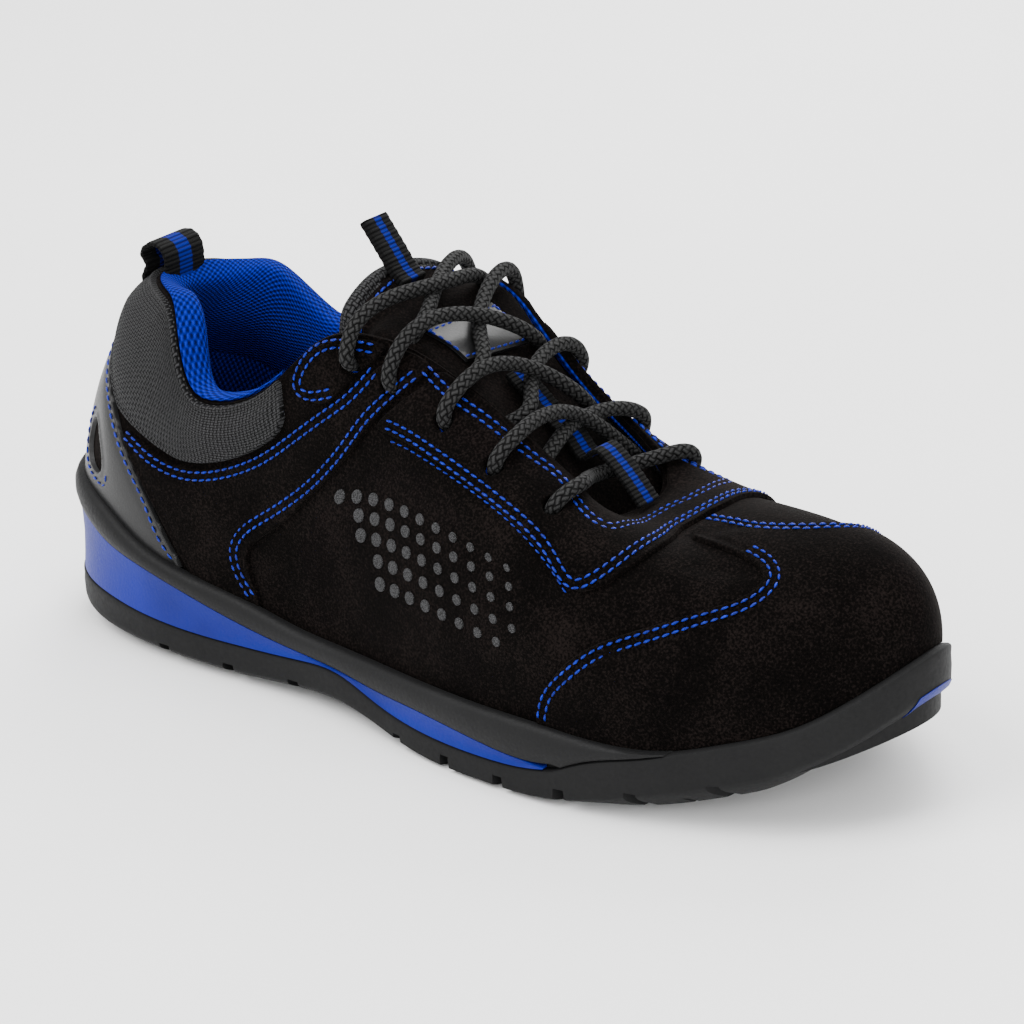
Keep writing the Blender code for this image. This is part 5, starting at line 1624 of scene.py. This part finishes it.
def make_tongue():
    """Padded tongue: suede cover, cloth rim at the free end and mesh at its sides."""
    hidden = [skin_spot(at, 0.86, -(UPPER_WALL + 0.0055)) for at in np.linspace(0.9, -0.9, len(END_SHARES))]
    grid = dense_rows([hidden] + tongue_rows(WING_DROP), TONGUE_ROWS, TONGUE_COLUMNS)
    walls = [TONGUE_RUNGS[0][3]] + [row[3] for row in TONGUE_RUNGS] + [row[4] for row in TONGUE_END]
    wall = np.interp(np.linspace(0, len(walls) - 1, TONGUE_ROWS), np.arange(len(walls)), walls)[:, None]
    sideways = np.linspace(-1, 1, TONGUE_COLUMNS)[None, :]
    along = np.linspace(0, 1, TONGUE_ROWS)[:, None]
    pad = 0.0016 * np.clip((1 - np.abs(sideways)) * 6, 0, 1) * np.clip((1 - along) * 14, 0, 1)
    pad = pad * np.clip((along - 0.5) * 4, 0, 1)
    groove = -0.0012 * np.exp(-(((along - cloth_line(sideways)) / 0.008) ** 2))
    puff = pad + groove * (along > 0.6)
    picks = np.zeros((TONGUE_ROWS - 1, TONGUE_COLUMNS - 1), int)
    mid_along = (along[:-1] + along[1:]) / 2
    mid_sideways = np.abs((sideways[:, :-1] + sideways[:, 1:]) / 2)
    picks[mid_along > cloth_line(mid_sideways)] = 1
    picks[(mid_sideways > 0.80) & (mid_along > 0.45) & (picks == 0)] = 2
    tongue = thick_sheet("tongue_pad", grid, wall * 0.9, ["suede", "cordura", "spacer_mesh"],
                         ["tongue"], picks, puff=puff)
    normal = sheet_normals(grid)
    face = grid + normal * (puff + 0.0003)[..., None]
    line, normals = [], []
    for s in np.linspace(-0.86, 0.86, 60)[::6]:
        row = int(round((cloth_line(s) - CLOTH_SEAM) * (TONGUE_ROWS - 1)))
        column = int(round((s + 1) * (TONGUE_COLUMNS // 2)))
        line.append(face[row, column])
        normals.append(normal[row, column])
    line, normals = resampled(line, 200), resampled(normals, 200)
    stitches = stitch_row(line, normals, pitch=0.0029, length=0.0024, radius=0.00042)
    joined_piece("tongue_stitches", stitches, "blue_thread")


def cloth_line(sideways):
    """How far along the tongue its cloth rim starts."""
    return CLOTH_FROM - CLOTH_FALL * np.abs(sideways) ** CLOTH_BEND


def make_tongue_patch():
    """Bare trim piece between the two top crossings, sewn round its edge."""
    grid = []
    for index, part in ((6, 0.50), (7, 0.0), (7, 0.60)):
        row = REST[index] * (1 - part) + REST[index + 1] * part
        grid.append([row[2] * 0.15 + row[3] * 0.85, row[3], row[4], row[5], row[6] * 0.15 + row[5] * 0.85])
    grid = dense_rows(grid, 24, 44)
    normal = sheet_normals(grid)
    top = grid + normal * 0.0024
    thick_sheet("tongue_trim", top, 0.0012, ["trim"], ["tongue_patch"])
    frames = [values[2:-2, 2:-2] for values in (top, normal)]
    rim, up = (np.concatenate([f[0], f[:, -1], f[-1, ::-1], f[::-1, 0]]) for f in frames)
    joined_piece("tongue_trim_stitches", stitch_row(rim, up), "blue_thread")


# Loops and lace

# Heel loop over the rim: back and up from it. Tongue tab: distance from the heel, and height over the tongue
HEEL_LOOP_ROUTE = (
    (-0.0046, 0.0050), (-0.0008, 0.0091), (0.0034, 0.0074), (0.0044, 0.0026), (0.0042, -0.0012),
)
TONGUE_TAB_ROUTE = (
    (0.1200, 0.0), (0.1170, 0.0002), (0.1140, 0.0020), (0.1108, 0.0056), (0.1065, 0.0112),
)

# Each crossing's shift towards the toe and lift over the tongue, from the top one down
CROSSING_SHIFTS = (0.0045, 0.0012, 0.0005, 0.0005)
CROSSING_LIFTS = (0.0016, 0.0018, 0.0026, 0.0024)


def through_curve(points, count=TAPE_POINTS):
    """Evenly numbered points of a smooth curve through a few."""
    points = np.asarray(points, float)
    length = run_along(points)
    return open_spline(length, points)(np.linspace(0.0, length[-1], count))


def make_loops():
    """Pull loop over the heel and folded pull tab on the tongue."""
    leg = skin(np.full(3, HEEL), np.array([0.90, 0.95, 1.0]), np.array([0.0010, 0.0032, 0.0042]))
    rim = upper_face(np.array([HEEL]), np.array([1.0]))[0]
    points = [*leg] + [rim + (x, 0, z) for x, z in HEEL_LOOP_ROUTE]
    tape("heel_pull_loop", through_curve(points), HEEL_LOOP_WIDTH, WEBBING_WALL, "heel_tape", "heel_loop")
    lift = WEBBING_WALL + 0.0018
    points = [(x, 0.0, tongue_top(x) + lift + extra) for x, extra in TONGUE_TAB_ROUTE]
    line = through_curve(points, 100)
    tape("tongue_pull_tab", line, TONGUE_LOOP_WIDTH, 2 * WEBBING_WALL, "tongue_tape", "tongue_loop")


def eyelet(index, side):
    """Place of an eyelet on the outer (-1) or inner (1) side, the top one first."""
    return EYELETS[index] if side < 0 else across(EYELETS)[index]


def lace_over(index, side, aim):
    """Centre of the lace from inside an eyelet, out of it and over the flap's edge towards its aim."""
    at, up = eyelet(index, side)
    hole = skin_spot(at, up)
    ends = np.linspace(at - 0.9, at + 0.9, 181)
    edge = upper_face(ends, np.ones(181))[:, :2] - hole[:2]
    run = np.array(aim[:2]) - hole[:2]
    miss = np.abs(edge[:, 0] * run[1] - edge[:, 1] * run[0])
    end = ends[int(np.argmin(miss))]
    over = CLEAR + OVERLAY_WALL + LACE_LOOK + 0.0003
    shares = np.array([-0.03, 0.0, 0.11, 0.32, 0.65, 1.0])
    rises = np.array([-UPPER_WALL - 0.0030, -0.0010, 0.0020, over * 0.95, over + 0.0001, over - 0.0006])
    return skin(at + (end - at) * shares, up + (1.0 - up) * shares, rises)


def eyelet_edge(index, side):
    """Throat edge beside an eyelet."""
    return skin_spot(eyelet(index, side)[0], 1.0, 0.0050)


def lace_under(index, side):
    """Centre of the lace from the tongue, under the flap, to the eyelet's inner end."""
    at, up = eyelet(index, side)
    edge = skin_spot(at, 1.0)
    y = edge[1] - side * 0.0080
    x = edge[0] - (0.0040 if index == 4 else 0.0)
    rest = np.array([x, y, tongue_top(x, y) + LACE_RADIUS + LACE_GAP])
    deep = -(UPPER_WALL + LACE_LOOK + 0.0004)
    flap = skin(np.array([at, at]), np.array([0.97, up]), np.array([deep - 0.0002, deep]))
    return [rest, flap[0], flap[1]]


def make_lace():
    """Round lace: four crossings and the bottom bar, through the punched eyelets."""
    for k, (shift, lift) in enumerate(zip(CROSSING_SHIFTS, CROSSING_LIFTS)):
        shapes = []
        for side in (-1, 1):
            end = lace_under(k + 1, -side)
            x = (eyelet_edge(k, side)[0] + end[0][0]) / 2 + shift
            top = tongue_top(x) + LACE_LOOK + LACE_GAP + lift
            middle = np.array([x, 0.0, top + (2 * LACE_LOOK - 0.0002 if side < 0 else 0.0)])
            start = lace_over(k, side, middle)
            shapes.append(rope(through_curve([*start, middle, *end], 110)))
        number = str(k + 1)
        joined_piece("lace_crossing_" + number, shapes, "lace_braid", ["lace_cross_" + number])
    x = (eyelet_edge(4, -1)[0] + eyelet_edge(4, 1)[0]) / 2
    middle = np.array([x, 0.0, tongue_top(x) + LACE_RADIUS + LACE_GAP + 0.0006])
    left, right = lace_over(4, -1, middle), lace_over(4, 1, middle)
    bar_line = through_curve([*left, middle, *right[::-1]], 120)
    joined_piece("lace_bottom_bar", [rope(bar_line)], "lace_braid", ["lace_bar"])
    bar = tongue_top(x) + LACE_RADIUS + 0.0018
    over = LACE_RADIUS + WEBBING_WALL / 2 + 0.0040
    front = upper_face(np.array([0.25]), np.array([1.0]))[0]
    points = [
        (front[0] + 0.006, 0.0, front[2] + CLEAR + OVERLAY_WALL + WEBBING_WALL + 0.0012),
        (x + 0.0034, 0.0, bar + over * 0.85),
        (x + 0.0004, 0.0, bar + over + 0.0004),
        (x - 0.0044, 0.0, bar + over * 0.60),
    ]
    for at in (x - 0.0085, x - 0.0150, x - 0.0220, x - 0.0290):
        points.append((at, 0.0, tongue_top(at) + WEBBING_WALL / 2 + (0.0027 if at > x - 0.012 else 0.0019)))
    tape("lace_keeper_tape", through_curve(points), KEEPER_WIDTH, WEBBING_WALL, "keeper_tape", "lace_keeper")


# Stitching and reflectors


def make_stitches():
    """Twin rows of contrasting stitches along every panel."""
    lift = CLEAR + OVERLAY_WALL + 0.0001
    toe, twin = (-0.0017, -0.0040), (-0.0011, 0.0011)
    plans = (
        # seam         rows  both sides
        ("toe", toe, False),
        ("toe_inner", toe, False),
        ("stay_outer", twin, False),
        ("stay_inner", twin, False),
        ("quarter", twin, True),
        ("quarter_top", twin, True),
        ("tip", twin, True),
    )
    for name, shifts, both in plans:
        shapes = seam_on_skin(SEAMS[name], lift, shifts)
        if both:
            shapes += seam_on_skin(across(SEAMS[name]), lift, shifts)
        joined_piece(name + "_stitches", shapes, "blue_thread")
    fine = []
    for name in ("stay_edge", "stay_edge_inner"):
        fine += seam_on_skin(SEAMS[name], CLEAR * 0.5, pitch=0.0026, length=0.0018, radius=0.00028)
    for turn in (list, across):
        for name in ("counter", "counter_hole"):
            fine += seam_on_skin(turn(SEAMS[name]), lift, pitch=0.0030, length=0.0022, radius=0.00030)
    joined_piece("fine_stitches", fine, "blue_thread")


def make_reflectors():
    """Printed round reflectors in staggered rows that shrink towards the toe, on both sides."""
    shapes = []
    for turn in (list, across):
        for row, level in enumerate(REFLECTOR_ROWS):
            for k in range(REFLECTOR_COUNT):
                share = (k + 0.5 * (row % 2)) / REFLECTOR_COUNT
                at = REFLECTOR_FROM * (1 - share) + REFLECTOR_TO * share - REFLECTOR_SLANT * row
                if at < REFLECTOR_END:
                    continue
                up = level + REFLECTOR_CLIMB * (1 - share)
                radius = REFLECTOR_RADIUS * (1 - REFLECTOR_SHRINK * share)
                shapes.append(dot_shape(*turn([(at, up)])[0], radius))
    joined_piece("reflector_dots", shapes, "reflective")


def dot_shape(at, up, radius):
    """Thin round print that follows the skin."""
    here = skin(np.array([at, at + 0.02, at]), np.array([up, up, up + 0.01]), np.zeros(3))
    round_length = np.linalg.norm(here[1] - here[0]) / 0.02
    rise_length = np.linalg.norm(here[2] - here[0]) / 0.01
    turn = np.arange(DOT_SIDES) * 2 * math.pi / DOT_SIDES
    rings = []
    for size, lift in DOT_RINGS:
        ats = at + np.cos(turn) * radius * size / round_length
        ups = up + np.sin(turn) * radius * size / rise_length
        rings.append(cover(ats, ups, np.full(DOT_SIDES, lift)))
    points = np.concatenate(rings)
    faces = grid_faces(len(rings), DOT_SIDES, wrap_columns=True)
    faces += [tuple(range(DOT_SIDES)), tuple(range(len(points) - DOT_SIDES, len(points)))]
    return points, faces, np.zeros((len(points), 2))


# Stage


def make_stage():
    """Pale floor, soft studio lights and the camera at the photograph's angle."""
    look = bpy.context.scene.sneaker_look
    bpy.ops.object.select_all(action="DESELECT")
    bpy.ops.mesh.primitive_plane_add(size=look.floor_size, location=(0.0, 0.0, 0.0))
    floor = bpy.context.object
    floor.name = "studio_floor_plane"
    floor.data.materials.append(finish("studio_floor"))
    world = bpy.data.worlds.new("studio_sky")
    world.use_nodes = True
    world.node_tree.nodes["Background"].inputs["Color"].default_value = (1.0, 1.0, 1.0, 1.0)
    world.node_tree.nodes["Background"].inputs["Strength"].default_value = look.sky
    bpy.context.scene.world = world
    for name, place, size, power in (
        ("key", (-0.45, -0.75, 1.10), 0.90, look.key_light),
        ("fill", (0.95, -0.70, 0.55), 0.80, look.key_light * 0.55),
        ("rim", (-0.30, 0.95, 0.80), 0.80, look.key_light * 0.75),
        ("top", (0.10, 0.10, 1.30), 0.70, look.key_light * 0.60),
    ):
        bpy.ops.object.light_add(type="AREA", location=place)
        lamp = bpy.context.object
        lamp.name = "studio_" + name
        lamp.data.size = size
        lamp.data.energy = power
        lamp.rotation_euler = (Vector((0.0, 0.0, 0.04)) - Vector(place)).to_track_quat("-Z", "Y").to_euler()
    turn, rise, roll = (math.radians(a) for a in (CAMERA_TURN, CAMERA_RISE, CAMERA_ROLL))
    back = Vector((math.sin(turn) * math.cos(rise), -math.cos(turn) * math.cos(rise), math.sin(rise)))
    right = Vector((math.cos(turn), math.sin(turn), 0.0))
    upward = back.cross(right)
    right, upward = (
        right * math.cos(roll) + upward * math.sin(roll),
        upward * math.cos(roll) - right * math.sin(roll),
    )
    bpy.ops.object.camera_add()
    camera = bpy.context.object
    camera.name = "studio_camera"
    camera.data.lens = CAMERA_LENS
    camera.data.sensor_width = 36.0
    place = Vector(CAMERA_AIM) - Vector(CENTRE) + back * CAMERA_DISTANCE
    camera.matrix_world = Matrix.Translation(place) @ Matrix((right, upward, back)).transposed().to_4x4()
    bpy.context.scene.camera = camera


# Add-on


class SneakerLook(bpy.types.PropertyGroup):
    """Colours and sizes that a user would change."""

    suede: FloatVectorProperty(
        name="Suede", description="Colour of the suede panels", subtype="COLOR",
        default=(0.0014, 0.0010, 0.0009), min=0.0, max=1.0,
    )
    accent: FloatVectorProperty(
        name="Accent", description="Colour of the mesh, foam band and tape stripes", subtype="COLOR",
        default=(0.0007, 0.0048, 0.115), min=0.0, max=1.0,
    )
    compound: FloatVectorProperty(
        name="Compound", description="Colour of the sole and the heel counter", subtype="COLOR",
        default=(0.0045, 0.0045, 0.0047), min=0.0, max=1.0,
    )
    thread: FloatVectorProperty(
        name="Thread", description="Colour of the contrasting stitches", subtype="COLOR",
        default=(0.0012, 0.0085, 0.19), min=0.0, max=1.0,
    )
    sky: FloatProperty(name="Sky", description="Strength of the light from all round", default=1.35, min=0.0)
    key_light: FloatProperty(
        name="Key light", description="Power of the main lamp", default=21.0, min=0.0, unit="POWER"
    )
    floor_size: FloatProperty(
        name="Floor", description="Width of the studio floor", default=8.0, min=0.5, unit="LENGTH"
    )


class SneakerStep(bpy.types.Operator):
    """One step of building the sneaker's looks."""

    bl_options = {"REGISTER", "UNDO"}
    work = ()

    def execute(self, context):
        for make_part in self.work:
            make_part()
        return {"FINISHED"}


class SNEAKER_OT_stage(SneakerStep):
    """Set up the pale floor, the soft lights and the camera"""

    bl_idname = "sneaker.stage"
    bl_label = "Studio stage"
    work = (make_stage,)


class SNEAKER_OT_outsole(SneakerStep):
    """Model the tread layer with its lugs, its bumper and the toe insert"""

    bl_idname = "sneaker.outsole"
    bl_label = "Outsole"
    work = (make_outsole, make_toe_insert)


class SNEAKER_OT_midsole(SneakerStep):
    """Model the cup with its rim, and the coloured band under it"""

    bl_idname = "sneaker.midsole"
    bl_label = "Midsole"
    work = (make_midsole, make_band)


class SNEAKER_OT_insole(SneakerStep):
    """Model the footbed"""

    bl_idname = "sneaker.insole"
    bl_label = "Insole"
    work = (make_insole,)


class SNEAKER_OT_upper(SneakerStep):
    """Model the hollow suede shell with its punched holes"""

    bl_idname = "sneaker.upper"
    bl_label = "Upper"
    work = (make_upper,)


class SNEAKER_OT_panels(SneakerStep):
    """Lay the suede overlays and the heel counter on the upper"""

    bl_idname = "sneaker.panels"
    bl_label = "Overlays"
    work = (make_panels,)


class SNEAKER_OT_collar(SneakerStep):
    """Model the padded collar and its mesh roll"""

    bl_idname = "sneaker.collar"
    bl_label = "Collar"
    work = (make_collar,)


class SNEAKER_OT_tongue(SneakerStep):
    """Model the padded tongue and its bare trim piece"""

    bl_idname = "sneaker.tongue"
    bl_label = "Tongue"
    work = (make_tongue, make_tongue_patch)


class SNEAKER_OT_loops(SneakerStep):
    """Model the two pull loops in ribbed tape"""

    bl_idname = "sneaker.loops"
    bl_label = "Pull loops"
    work = (make_loops,)


class SNEAKER_OT_lace(SneakerStep):
    """Run the round lace through the eyelets and under its keeper"""

    bl_idname = "sneaker.lace"
    bl_label = "Lace"
    work = (make_lace,)


class SNEAKER_OT_stitching(SneakerStep):
    """Sew the rows of contrasting stitches along the panels"""

    bl_idname = "sneaker.stitching"
    bl_label = "Stitching"
    work = (make_stitches,)


class SNEAKER_OT_reflectors(SneakerStep):
    """Print the round reflectors on both sides"""

    bl_idname = "sneaker.reflectors"
    bl_label = "Reflectors"
    work = (make_reflectors,)


STEPS = (
    SNEAKER_OT_stage, SNEAKER_OT_outsole, SNEAKER_OT_midsole, SNEAKER_OT_insole,
    SNEAKER_OT_upper, SNEAKER_OT_panels, SNEAKER_OT_collar, SNEAKER_OT_tongue,
    SNEAKER_OT_loops, SNEAKER_OT_lace, SNEAKER_OT_stitching, SNEAKER_OT_reflectors,
)


class SNEAKER_PT_sidebar(bpy.types.Panel):
    """Settings and steps in the 3D view's sidebar"""

    bl_idname = "SNEAKER_PT_sidebar"
    bl_label = "Safety sneaker"
    bl_space_type = "VIEW_3D"
    bl_region_type = "UI"
    bl_category = "Sneaker"

    def draw(self, context):
        for name in SneakerLook.__annotations__:
            self.layout.prop(context.scene.sneaker_look, name)
        for step in STEPS:
            self.layout.operator(step.bl_idname)


CLASSES = (SneakerLook,) + STEPS + (SNEAKER_PT_sidebar,)


def register():
    """Add the settings, the steps and the panel to Blender."""
    for kind in CLASSES:
        bpy.utils.register_class(kind)
    bpy.types.Scene.sneaker_look = PointerProperty(type=SneakerLook)


def unregister():
    """Take them out again."""
    del bpy.types.Scene.sneaker_look
    for kind in reversed(CLASSES):
        bpy.utils.unregister_class(kind)


def main():
    """Build every piece in order."""
    register()
    for step in STEPS:
        group, name = step.bl_idname.split(".")
        getattr(getattr(bpy.ops, group), name)()


if __name__ == "__main__":
    main()
